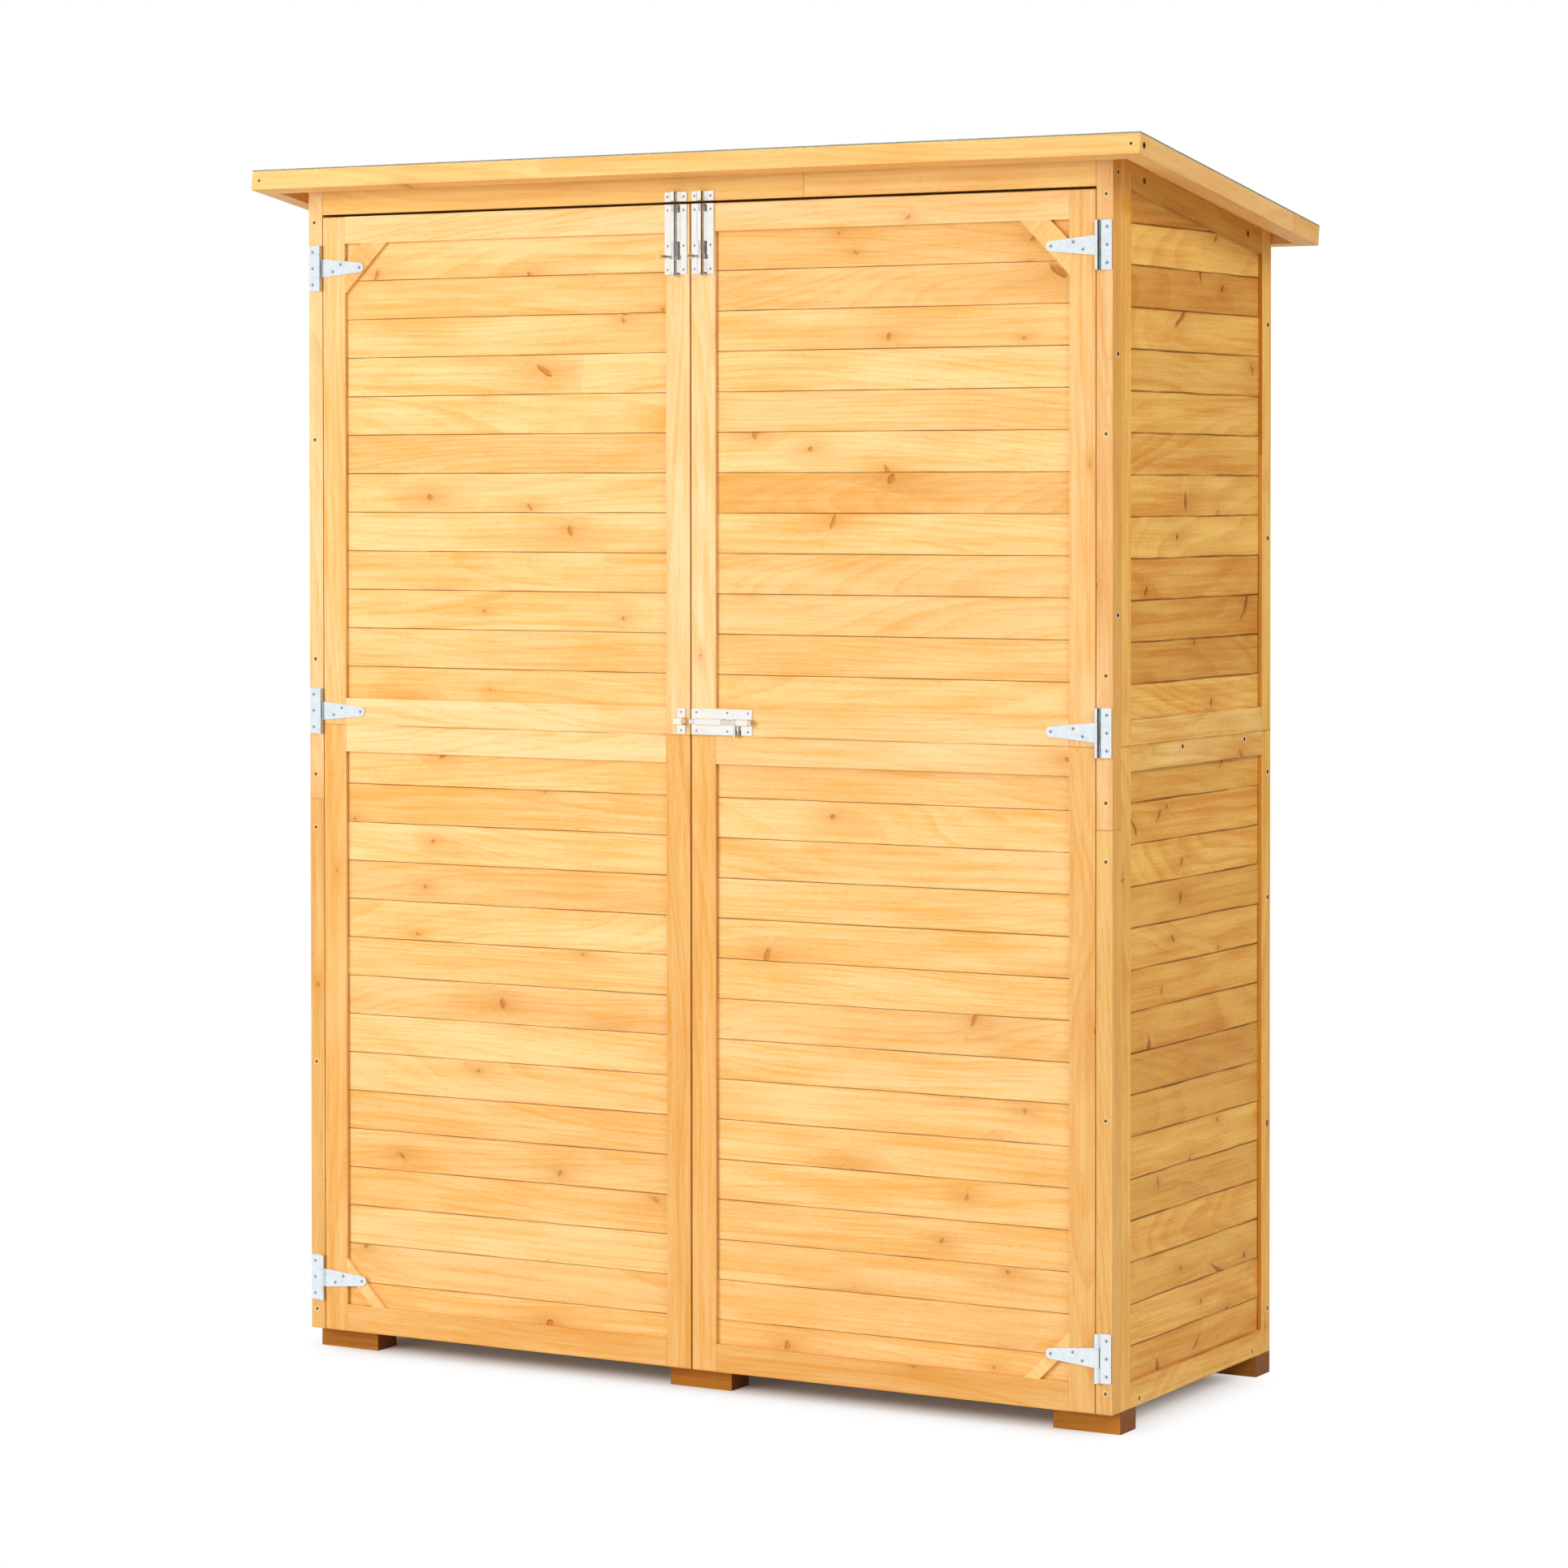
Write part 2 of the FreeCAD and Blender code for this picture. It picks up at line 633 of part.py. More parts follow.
deck_half = roof_half - size("fascia_thickness")
on_roof(boarding("roof_deck_boards", deck_half, deck_front, deck_rear, size("deck_thickness")))

front_joint = size("fascia_left_length") - roof_half
for side, low, high in (("left", -roof_half, front_joint), ("right", front_joint, roof_half)):
    front_fascia = on_roof(piece(f"fascia_front_{side}"), fascia_bottom)
    roof_batten(front_fascia, (low, roof_front), (high, deck_front), size("fascia_height"))

side_joint = roof_rear - size("fascia_offcut_length")
lengths = []
for near, far in ((deck_front, side_joint), (side_joint, roof_rear)):
    lengths.append(batten_set("fascia_length"))
    roof_batten(lengths[-1], (deck_half, near), (roof_half, far), size("fascia_height"))
mirror_image("fascia_left", on_roof(assembled("fascia_right", lengths), fascia_bottom))
rear_fascia = on_roof(piece("fascia_rear"), fascia_bottom)
roof_batten(rear_fascia, (-deck_half, deck_rear), (deck_half, roof_rear), size("fascia_height"))
felt = on_roof(piece("roof_felt"), size("deck_thickness"))
roof_batten(felt, (-roof_half, roof_front), (roof_half, roof_rear), size("felt_thickness"))

# Hinges, three to a door: on the post a leaf whose two knuckles are riveted to the pin between
# them, on the door a tapered strap with the middle knuckle, which turns on the pin.
hinge_line = half_inside + size("hinge_set")
pin_depth = -size("knuckle_radius") - size("knuckle_play")
bore_radius = size("pin_radius") + size("pin_play")
mid_knuckle = size("strap_width") / 2
end_knuckle = mid_knuckle + size("knuckle_play")
hinge_levels = (
    base + size("lower_hinge_rise"),
    split + size("door_rail_width") / 2,
    door_top - size("upper_hinge_drop"),
)
leaves = place(piece("hinge_leaves"), y=door_face)
straps = place(piece("hinge_straps_right"), y=door_face)
for level in hinge_levels:
    half_leaf = size("hinge_height") / 2
    leaf_edge = hinge_line + size("leaf_width")
    relief = hinge_line + size("leaf_relief")
    leaf = (
        (hinge_line, level - half_leaf),
        (leaf_edge, level - half_leaf),
        (leaf_edge, level + half_leaf),
        (hinge_line, level + half_leaf),
        (hinge_line, level + end_knuckle),
        (relief, level + end_knuckle),
        (relief, level - end_knuckle),
        (hinge_line, level - end_knuckle),
    )
    pad(leaves, outline(leaves, "front", leaf), size("leaf_thickness"))
    knuckle_length = half_leaf - end_knuckle
    for start in (level - half_leaf, level + end_knuckle):
        drawn = circle(leaves, "level", (hinge_line, pin_depth), size("knuckle_radius"), start)
        pad(leaves, drawn, knuckle_length)

    tip_centre = hinge_line - size("strap_reach") + size("strap_tip_radius")
    strap_root = hinge_line - size("leaf_relief")
    strap = (
        (tip_centre, level - size("strap_tip_radius")),
        (strap_root, level - mid_knuckle),
        (strap_root, level + mid_knuckle),
        (tip_centre, level + size("strap_tip_radius")),
    )
    pad(straps, outline(straps, "front", strap), size("leaf_thickness"))
    tip = circle(straps, "front", (tip_centre, level), size("strap_tip_radius"))
    pad(straps, tip, size("leaf_thickness"))
    neck_low = (strap_root, level - mid_knuckle)
    neck_high = (hinge_line, level + mid_knuckle)
    neck = rectangle(straps, "front", neck_low, neck_high, size("knuckle_play"))
    pad(straps, neck, size("leaf_thickness"))
    drawn = circle(straps, "level", (hinge_line, pin_depth), size("knuckle_radius"), level - mid_knuckle)
    pad(straps, drawn, size("strap_width"))

    pin_low = level - half_leaf / 2
    drawn = circle(leaves, "level", (hinge_line, pin_depth), size("pin_radius"), pin_low)
    pad(leaves, drawn, half_leaf)
cut_through(straps, circle(straps, "level", (hinge_line, pin_depth), bore_radius))
both_sides(leaves)
mirror_image("hinge_straps_left", straps)

# Barrel bolts. In a bolt's own frame the rod slides along +z, -y points away from the wood, and
# the origin lies on the wood at the front edge of the back plate. The rod is drawn back at rest.
short_start = size("long_barrel_start") + size("long_barrel_length") + size("knob_travel_room")
knob_rest = size("collar_width") / 2 + size("knob_stop") - short_start
half_plate = size("bolt_width") / 2
rod_line = -size("bolt_axis_height")
barrel_bore = size("rod_radius") + size("rod_play")
keeper_bore = size("rod_radius") + size("keeper_play")


def arch(body, centre, bore, start, length):
    """A pressed arch over the rod: a round top on straight legs that stand on the plate."""
    radius = bore + size("barrel_wall")
    pad(body, circle(body, "level", (centre, rod_line), radius, start), length)
    for way in (-1, 1):
        leg = sorted((centre + radius * way, centre + bore * way), key=Formula.number)
        pad(body, rectangle(body, "level", (leg[0], rod_line), (leg[1], ZERO), start), length)


def hollow(body, centre, bore):
    """Clear the inside of the body's arches for the rod, down to the sheet they stand on."""
    cut_through(body, circle(body, "level", (centre, rod_line), bore))
    low = (centre - bore, rod_line)
    high = (centre + bore, -size("bolt_sheet"))
    cut_through(body, rectangle(body, "level", low, high))


def back_plate(name, spot):
    """The plate with its long and its short barrel."""
    body = place(piece(name), **spot)
    edge = rectangle(body, "front", (-half_plate, -size("bolt_length")), (half_plate, ZERO))
    pad(body, edge, size("bolt_sheet"))
    long_end = size("long_barrel_start") + size("long_barrel_length")
    short_end = short_start + size("short_barrel_length")
    arch(body, ZERO, barrel_bore, -long_end, size("long_barrel_length"))
    arch(body, ZERO, barrel_bore, -short_end, size("short_barrel_length"))
    hollow(body, ZERO, barrel_bore)
    return body


def sliding_rod(name, spot):
    """The round rod with a broken edge at its tip, turned about its own line."""
    body = place(piece(name), **spot)
    profile = (
        (ZERO, -size("rod_length")),
        (size("rod_radius"), -size("rod_length")),
        (size("rod_radius"), -size("rod_point")),
        (size("rod_radius") - size("rod_point"), ZERO),
        (ZERO, ZERO),
    )
    turned = body.newObject("PartDesign::Revolution", "turned")
    turned.Profile = outline(body, "front", profile)
    axis = next(item for item in body.Origin.OriginFeatures if item.Role == "Z_Axis")
    turned.ReferenceAxis = (axis, [""])
    turned.Angle = 360
    return body


def knob(name, spot):
    """A ring that turns on the rod, and the grip that stands out from it: a neck and a thick end."""
    body = place(piece(name), **spot)
    ring_radius = barrel_bore + size("collar_wall")
    ring_start = -size("collar_width") / 2
    pad(body, circle(body, "level", (ZERO, ZERO), ring_radius, ring_start), size("collar_width"))
    cut_through(body, circle(body, "level", (ZERO, ZERO), barrel_bore))
    root = barrel_bore + size("collar_wall") / 4
    neck_end = size("knob_reach") - size("grip_end_length")
    neck = circle(body, "front", (ZERO, ZERO), size("grip_root_radius"), root)
    pad(body, neck, neck_end - root)
    thick_end = circle(body, "front", (ZERO, ZERO), size("grip_end_radius"), neck_end)
    pad(body, thick_end, size("grip_end_length"))
    return body


def keeper(body, centre, start):
    """A keeper: a narrow plate with an arch that takes the rod."""
    low = (centre - half_plate, start)
    high = (centre + half_plate, start + size("keeper_width"))
    pad(body, rectangle(body, "front", low, high), size("bolt_sheet"))
    arch(body, centre, keeper_bore, start, size("keeper_width"))
    hollow(body, centre, keeper_bore)


mid_rail = split + size("door_rail_width") / 2
upright = ((0, 0, 1), 0)
sideways = ((0, 1, 0), -90)
grip_out = -35
grip_down = -90
bolts = (
    ("left", -size("left_bolt_centre"), door_top, upright, (0, 0, 1), grip_out),
    ("right", size("right_bolt_centre"), door_top, upright, (0, 0, 1), grip_out),
    ("middle", size("door_meeting_gap") / 2, mid_rail, sideways, (-1, 0, 0), grip_down),
)
for name, across, height, turn, way, lean in bolts:
    back_plate(f"bolt_plate_{name}", {"x": across, "y": door_face, "z": height, "turn": turn})
    rod_y = door_face + rod_line
    sliding_rod(f"bolt_rod_{name}", {"x": across, "y": rod_y, "z": height, "turn": turn})
    spot = {
        "x": across + knob_rest * way[0],
        "y": rod_y,
        "z": height + knob_rest * way[2],
        "turn": turn,
    }
    made = knob(f"bolt_knob_{name}", spot)
    leaned = made.Placement.Rotation.multiply(FreeCAD.Rotation(FreeCAD.Vector(0, 0, 1), lean))
    made.Placement = FreeCAD.Placement(made.Placement.Base, leaned)

header_keepers = place(piece("keepers_header"), y=door_face)
for centre in (-size("left_bolt_centre"), size("right_bolt_centre")):
    keeper(header_keepers, centre, header_bottom + size("top_keeper_set"))
left_edge = -size("door_meeting_gap") / 2
door_keeper = place(piece("keeper_left_door"), x=left_edge, y=door_face, z=mid_rail, turn=sideways)
keeper(door_keeper, ZERO, size("door_keeper_set"))

doc.recompute()
for made in doc.Objects:
    if "Invalid" in made.State or "Error" in made.State:
        raise RuntimeError(f"{made.Label} failed: {made.State}")
for made in pieces:
    if made.Shape.isNull() or not made.Shape.isValid():
        raise RuntimeError(f"{made.Label} has no valid shape")

os.makedirs("parts", exist_ok=True)
for made in pieces:
    made.Shape.exportStep(f"parts/{made.Label}.step")
print(len(pieces), "sub-parts,", sum(len(made.Shape.Solids) for made in pieces), "solids")
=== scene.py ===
"""Garden storage cabinet in glazed fir: two slatted doors, slatted walls and a felted pent roof."""
import math

import bpy
import numpy as np
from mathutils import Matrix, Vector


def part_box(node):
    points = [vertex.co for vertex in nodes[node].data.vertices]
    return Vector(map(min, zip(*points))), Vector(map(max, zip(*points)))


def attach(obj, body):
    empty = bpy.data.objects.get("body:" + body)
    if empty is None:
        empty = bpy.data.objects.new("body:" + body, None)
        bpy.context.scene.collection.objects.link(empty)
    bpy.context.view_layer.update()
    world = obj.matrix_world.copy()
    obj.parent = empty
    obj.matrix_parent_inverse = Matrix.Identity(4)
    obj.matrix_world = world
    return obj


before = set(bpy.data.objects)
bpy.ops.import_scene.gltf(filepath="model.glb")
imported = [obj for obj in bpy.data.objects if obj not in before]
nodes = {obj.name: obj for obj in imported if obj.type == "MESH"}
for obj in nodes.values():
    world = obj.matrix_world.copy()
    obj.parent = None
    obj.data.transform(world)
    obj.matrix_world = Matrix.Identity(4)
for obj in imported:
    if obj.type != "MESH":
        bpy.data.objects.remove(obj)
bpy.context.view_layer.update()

# Feet. Six offcuts of an older, darker fir lie flat under the body. All the wood is fast-grown fir,
# planed, dipped in a honey-coloured glaze and left satin. Each board is sawn from its own place in a
# log, so its rings are cylinders round a pith line that lies below it and rakes a little along it.
X, Y, Z = 0, 1, 2
FIR_RING = 0.0027  # one year's growth
FIR_HALO = (0.66, 0.27, 0.045)
FIR_KNOT = (0.58, 0.215, 0.026)
FIR_BRANCH = (0.36, 0.108, 0.010)  # a knot in coarse wood
FIR_RIM = (0.62, 0.48, 0.36)  # the edge of a knot, as a share of the knot's colour
# Painted shadow in an open joint.
FIR_GAP_SHADOW = (0.30, 0.115, 0.014)
FIR_SAWN_END = (0.92, 0.93, 0.78)  # a sawn end, as a share of the board's dark wood
KNOT_CELLS = (5.2, 15.0, 0.0)  # to the metre along and across a board; some of them hold a knot
KNOT_SMALL = 0.0012
KNOT_LARGE = 0.0046
LOG_SPREAD = (31.0, 17.0, 23.0)  # how far, in metres, a board's luck may move it in the noise


class Pen:
    """Draws one node tree: each call adds a node, feeds it and hands back one of its outputs."""

    def __init__(self, tree):
        self.tree = tree

    def feed(self, socket, value):
        """Link another node's output to a socket, or write a plain value on it."""
        if isinstance(value, bpy.types.NodeSocket):
            self.tree.links.new(value, socket)
        else:
            socket.default_value = value

    def add(self, kind, feeds=(), out=0, **settings):
        """Add a node. Feeds gives what goes into its sockets, and settings are its other properties."""
        made = self.tree.nodes.new("ShaderNode" + kind)
        for key, value in settings.items():
            setattr(made, key, value)
        pairs = feeds.items() if isinstance(feeds, dict) else enumerate(feeds)
        for slot, value in pairs:
            self.feed(made.inputs[slot], value)
        return made.outputs[out]

    def math(self, operation, *values):
        return self.add("Math", values, operation=operation)

    def sum(self, first, *others):
        for value in others:
            first = self.math("ADD", first, value)
        return first

    def product(self, first, *others):
        for value in others:
            first = self.math("MULTIPLY", first, value)
        return first

    def less(self, one, other):
        return self.math("SUBTRACT", one, other)

    def line(self, value, slope, start):
        """A straight line: the value times the slope, plus the start."""
        return self.math("MULTIPLY_ADD", value, slope, start)

    def swing(self, value, reach):
        """A noise from 0 to 1, turned into a swing from minus half the reach to plus half of it."""
        return self.line(value, reach, -reach / 2)

    def rise(self, value, low, high):
        """0 below low, 1 above high, and a soft step between; falls instead where low is the larger."""
        feeds = {"Value": value, "From Min": low, "From Max": high}
        return self.add("MapRange", feeds, interpolation_type="SMOOTHSTEP")

    def vector(self, operation, *values):
        return self.add("VectorMath", values, operation=operation)

    def split(self, vector):
        return self.add("SeparateXYZ", (vector,)).node.outputs

    def join(self, x, y, z):
        return self.add("CombineXYZ", (x, y, z))

    def length(self, x, y):
        return self.add("VectorMath", (self.join(x, y, 0.0),), out="Value", operation="LENGTH")

    def blend(self, share, one, other, **settings):
        feeds = {0: share, 6: one, 7: other}
        return self.add("Mix", feeds, out=2, data_type="RGBA", **settings)

    def noise(self, vector, per_metre, detail=2.0, out="Fac"):
        """Noise with that many grains to the metre along each axis."""
        place = self.vector("MULTIPLY", vector, per_metre)
        return self.add("TexNoise", {"Vector": place, "Scale": 1.0, "Detail": detail}, out=out)


def colour(shade):
    return (*shade, 1.0)


def new_finish(name):
    """A material that is still bare, the pen for its nodes, and its shader's inputs."""
    made = bpy.data.materials.new(name)
    made.use_nodes = True
    return made, Pen(made.node_tree), made.node_tree.nodes["Principled BSDF"].inputs


def fir_knots(pen, place, given):
    """Knots. In some cells there is a knot, an ellipse that mostly lies across the board, made wavy by
    noise and bent into a crescent. Reach is the distance from its middle in knot sizes. The knot itself
    and its dark rim are bands of reach, the swell that pushes the rings aside is a bell over it, and the
    halo fades with the plain distance, longer along the grain.
    """
    cells = pen.vector("MULTIPLY", place, KNOT_CELLS)
    cell = pen.add("TexVoronoi", {"Vector": cells, "Scale": 1.0}, voronoi_dimensions="2D").node.outputs
    offset = pen.vector("SUBTRACT", cells, cell["Position"])
    run, side, _ = pen.split(pen.vector("MULTIPLY", offset, (1 / KNOT_CELLS[0], 1 / KNOT_CELLS[1], 0.0)))
    turn, slant, girth = pen.split(cell["Color"])
    bend = pen.product(pen.swing(slant, 50.0), pen.math("POWER", side, 2.0))
    wave = pen.swing(pen.noise(place, (30, 75, 75), 1.0), 0.009)
    run = pen.sum(run, bend, wave)
    angle = pen.sum(pen.swing(turn, 2.0), math.pi / 2)
    cosine = pen.math("COSINE", angle)
    sine = pen.math("SINE", angle)
    longways = pen.sum(pen.product(run, cosine), pen.product(side, sine))
    crossways = pen.less(pen.product(side, cosine), pen.product(run, sine))
    drawn = pen.line(given["Coarse"], 4.6, 2.4)
    stretch = pen.line(pen.math("POWER", slant, 2.0), drawn, 1.0)
    far = pen.length(pen.math("DIVIDE", longways, stretch), crossways)
    far = pen.product(far, pen.line(pen.noise(place, (90, 90, 90)), 0.8, 0.6))
    size = pen.line(pen.math("POWER", girth, 2.0), KNOT_LARGE - KNOT_SMALL, KNOT_SMALL)
    reach = pen.math("DIVIDE", far, size)
    there = pen.math("LESS_THAN", pen.math("FRACT", pen.product(turn, 7.31)), given["Knots"])
    knot = pen.product(there, pen.rise(reach, 1.45, 0.40))
    rim = pen.product(pen.rise(reach, 0.55, 0.95), pen.rise(reach, 1.35, 1.0), there,
                      pen.rise(crossways, -0.002, 0.003))
    swell = pen.product(there, pen.math("EXPONENT", pen.product(pen.math("POWER", reach, 2.0), -0.16)))
    around = pen.length(pen.product(run, 0.45), side)
    halo = pen.product(there, pen.math("EXPONENT", pen.math("DIVIDE", around, pen.product(size, -4.6))))
    return knot, rim, halo, pen.product(size, 2.0), swell


def fir_rings(pen, place, given, bulge, swell):
    """Late wood, from 0 to 1. The distance from the pith line, bent by slow noise and pushed out by the
    bulge of each knot, is cut into years; each year ends in a thin line, as strong as its own luck.
    """
    along, across, into = pen.split(given["Board"])
    first, second, third = pen.split(given["Luck"])
    drift_a, drift_b, _ = pen.split(pen.noise(place, (1.6, 6.0, 6.0), 1.5, "Color"))
    which_side = pen.math("SIGN", pen.less(first, 0.5))
    aside = pen.line(which_side, 0.020, pen.swing(first, 0.12))
    side_way = pen.sum(across, aside, pen.swing(drift_a, 0.022))
    deep_way = pen.line(along, pen.swing(third, 0.07), into)
    deep_way = pen.sum(deep_way, pen.line(second, 0.06, 0.015), pen.swing(drift_b, 0.032))
    radius = pen.length(side_way, pen.line(swell, bulge, deep_way))
    ripple = {"W": pen.product(radius, 90.0), "Scale": 1.0}
    uneven = pen.add("TexNoise", ripple, noise_dimensions="1D")
    years = pen.line(radius, 1 / FIR_RING, pen.product(uneven, 2.2))
    season = pen.math("FRACT", years)
    late = pen.product(pen.rise(season, 0.25, 0.92), pen.rise(season, 1.0, 0.92))
    year = {"W": pen.math("FLOOR", years)}
    strength = pen.add("TexWhiteNoise", year, out="Value", noise_dimensions="1D")
    return pen.product(late, pen.line(strength, 0.75, 0.25))


def fir_joints(pen, place, given, wood):
    """The wood with its joints. Near an edge the glaze gathers and painted shade darkens the wood beside
    the joint; on the edge itself a painted shadow darkens the gap, both in stretches set by slow noise.
    A sawn end drinks more glaze than the faces.
    """
    patchiness = pen.noise(place, (9, 2, 2), 2.0)
    # Painted shade beside a joint, partly glaze that gathers there.
    gathered_glaze_and_shade = pen.product(pen.rise(given["Edge"], 0.0035, 0.0004), pen.rise(patchiness, 0.35, 0.70))
    wood = pen.blend(pen.product(gathered_glaze_and_shade, 0.22), wood, colour(FIR_HALO))
    wide = pen.line(given["Coarse"], 0.0009, 0.0012)
    # Painted shadow on the joint itself.
    gap_shadow = pen.product(pen.rise(given["Edge"], wide, pen.product(wide, 0.4)), pen.rise(patchiness, 0.30, 0.62),
                      pen.line(given["Coarse"], 0.20, 0.62))
    wood = pen.blend(gap_shadow, wood, colour(FIR_GAP_SHADOW))
    drunk = pen.vector("MULTIPLY", given["Dark"], FIR_SAWN_END)
    return pen.blend(pen.rise(given["End"], 0.0005, 0.0001), wood, drunk)


def fir_group():
    """The node group for one board: where a point lies on it decides colour, relief and gloss.

    Coarse goes from 0 for picked wood to 1 for the rest, where branches are cut lengthways and the painted
    shadow in the joints is wider and darker. Edge is the distance to the nearest joint, and End that to
    the board's own sawn end. The colour slides from pale to dark with the late wood and with streaks,
    clouds and fibres of noise.
    """
    tree = bpy.data.node_groups.new("fir_board", "ShaderNodeTree")
    for name, kind in (("Board", "Vector"), ("Luck", "Vector"), ("Pale", "Color"), ("Dark", "Color"),
                       ("Knots", "Float"), ("Coarse", "Float"), ("Edge", "Float"), ("End", "Float")):
        tree.interface.new_socket(name, in_out="INPUT", socket_type="NodeSocket" + kind)
    for name, kind in (("Colour", "Color"), ("Relief", "Float"), ("Gloss", "Float")):
        tree.interface.new_socket(name, in_out="OUTPUT", socket_type="NodeSocket" + kind)
    pen = Pen(tree)
    given = tree.nodes.new("NodeGroupInput").outputs
    place = pen.vector("ADD", given["Board"], pen.vector("MULTIPLY", given["Luck"], LOG_SPREAD))
    knot, rim, halo, bulge, swell = fir_knots(pen, place, given)
    late = fir_rings(pen, place, given, bulge, swell)

    fibre = pen.noise(place, (11, 520, 520), 3.0)
    streak = pen.noise(place, (3.2, 120, 120), 3.0)
    cloud = pen.noise(place, (6, 26, 26), 3.0)
    mottle = pen.noise(place, (130, 260, 260), 2.0)
    tick = pen.rise(pen.noise(place, (70, 560, 560), 1.0), 0.66, 0.80)
    second = pen.split(given["Luck"])[Y]
    share = pen.sum(pen.product(late, 0.34), pen.swing(streak, 1.0), pen.swing(cloud, 1.3),
                    pen.swing(fibre, 0.95), pen.swing(mottle, 0.45), pen.swing(second, 0.30), 0.36)
    wood = pen.blend(pen.rise(share, -0.2, 1.2), given["Pale"], given["Dark"])
    wood = pen.blend(pen.product(tick, 0.35), wood, colour(FIR_HALO))
    wood = pen.blend(pen.product(halo, 0.72), wood, colour(FIR_HALO))
    core = pen.blend(given["Coarse"], colour(FIR_KNOT), colour(FIR_BRANCH))
    wood = pen.blend(pen.product(knot, 0.80), wood, core)
    wood = pen.blend(pen.product(rim, 0.75), wood, pen.vector("MULTIPLY", core, FIR_RIM))
    wood = fir_joints(pen, place, given, wood)

    relief = pen.line(knot, 0.4, pen.line(late, -0.55, pen.product(fibre, 0.6)))
    gloss = pen.line(fibre, 0.22, pen.line(late, -0.10, 0.42))
    result = tree.nodes.new("NodeGroupOutput")
    for name, value in (("Colour", wood), ("Relief", relief), ("Gloss", gloss)):
        pen.feed(result.inputs[name], value)
    return tree


FIR_BOARD = fir_group()
ALONE = 1.0  # the distance to give for a side or an end with no neighbour
fir_seed = 0


def fir(name, layout, shades, knots=0.30, tone=0.10, coarse=0.0, picked=()):
    """A fir material. The layout says where on a board a point is, along, across and into it, which
    board that is, and how far the board's side and end are. Shades are its pale and its dark wood, tone
    is how much darker than its neighbours one board may be, and picked gives the numbers of boards
    with shades of their own, each with those shades.
    """
    global fir_seed
    fir_seed += 1
    made, pen, shader = new_finish(name)
    place = pen.split(pen.add("TexCoord", out="Object"))
    along, across, into, which, to_side, to_end = layout(pen, place)
    luck = pen.add("TexWhiteNoise", {"Vector": pen.join(which, fir_seed * 1.37, 0.5)}, out="Color")
    pale, dark = colour(shades[0]), colour(shades[1])
    for number, other in picked:
        it = pen.math("COMPARE", which, number, 0.5)
        pale = pen.blend(it, pale, colour(other[0]))
        dark = pen.blend(it, dark, colour(other[1]))
    board = pen.tree.nodes.new("ShaderNodeGroup")
    board.node_tree = FIR_BOARD
    for given, value in (("Board", pen.join(along, across, into)), ("Luck", luck), ("Pale", pale),
                         ("Dark", dark), ("Knots", knots), ("Coarse", coarse),
                         ("Edge", pen.math("MINIMUM", to_side, to_end)),
                         ("End", pen.math("MAXIMUM", to_end, 0.0))):
        pen.feed(board.inputs[given], value)
    deeper = pen.line(pen.math("POWER", pen.split(luck)[Z], 2.0), -tone, 1.0)
    tint = pen.add("CombineColor", (deeper, pen.math("POWER", deeper, 1.7), pen.math("POWER", deeper, 2.6)))
    grain = {"Strength": 0.35, "Distance": 0.0004, "Height": board.outputs["Relief"]}
    pen.feed(shader["Base Color"], pen.blend(1.0, board.outputs["Colour"], tint, blend_type="MULTIPLY"))
    pen.feed(shader["Roughness"], board.outputs["Gloss"])
    pen.feed(shader["Normal"], pen.add("Bump", grain))
    shader["Specular IOR Level"].default_value = 0.18
    return made


def wear(node, finish):
    """Give a CAD node its finish."""
    mesh = nodes[node].data
    mesh.materials.clear()
    mesh.materials.append(finish)


FOOT_LONG = 0.092
FOOT_WIDE = 0.044
FOOT_FIR = ((0.50, 0.195, 0.022), (0.26, 0.080, 0.006))
low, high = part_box("feet")
ground = low.z


def foot_blocks(pen, place):
    """Three blocks along the front and three along the rear, each an offcut of its own: the column is
    the place across divided by the outer blocks' and rounded, and the row is 0 or 1.
    """
    column = pen.math("ROUND", pen.math("DIVIDE", place[X], high.x - FOOT_LONG / 2))
    row = pen.math("GREATER_THAN", place[Y], (low.y + high.y) / 2)
    middle = pen.line(row, high.y - low.y - FOOT_WIDE, low.y + FOOT_WIDE / 2)
    along = pen.line(column, FOOT_LONG / 2 - high.x, place[X])
    to_end = pen.less(FOOT_LONG / 2, pen.math("ABSOLUTE", along))
    return along, pen.less(place[Y], middle), place[Z], pen.line(row, 3.0, column), ALONE, to_end


wear("feet", fir("foot_blocks", foot_blocks, FOOT_FIR, 0.45, tone=0.12))

# Floor. Planed boards run from front to rear over a flat frame of battens, nailed down from above.
# The boards are the same fir as the walls.
# Deeper and more golden than the doors' shades: painted shade, for walls turned from the light.
WALL_FIR = ((1.0, 0.640, 0.172), (0.78, 0.330, 0.042))
BOARD_PLAY = 0.0006  # left open between two boards
LET_IN_SHARE = 0.55  # a distance to a batten counts for this much, so that joint shows wider


def inside(pen, value, ends):
    """How far a point lies inside the nearer of two ends, and less than nought beyond them."""
    offset = pen.less(value, (ends[0] + ends[1]) / 2)
    return pen.less((ends[1] - ends[0]) / 2, pen.math("ABSOLUTE", offset))


def stack(grain, rows, start, pitch, into, let_in=None):
    """Boards side by side: rows is the axis across them, start the near edge of the first. Where they
    are let into battens at both ends, let_in says where those battens' inner edges are.
    """

    def layout(pen, place):
        step = pen.math("DIVIDE", pen.less(place[rows], start), pitch)
        which = pen.math("FLOOR", step)
        across = pen.line(pen.less(step, which), pitch, -pitch / 2)
        to_side = pen.less(pitch / 2, pen.math("ABSOLUTE", across))
        if let_in:
            to_batten = pen.product(inside(pen, place[grain], let_in), LET_IN_SHARE)
            to_side = pen.math("MINIMUM", to_side, to_batten)
        return place[grain], across, place[into], which, to_side, ALONE

    return layout


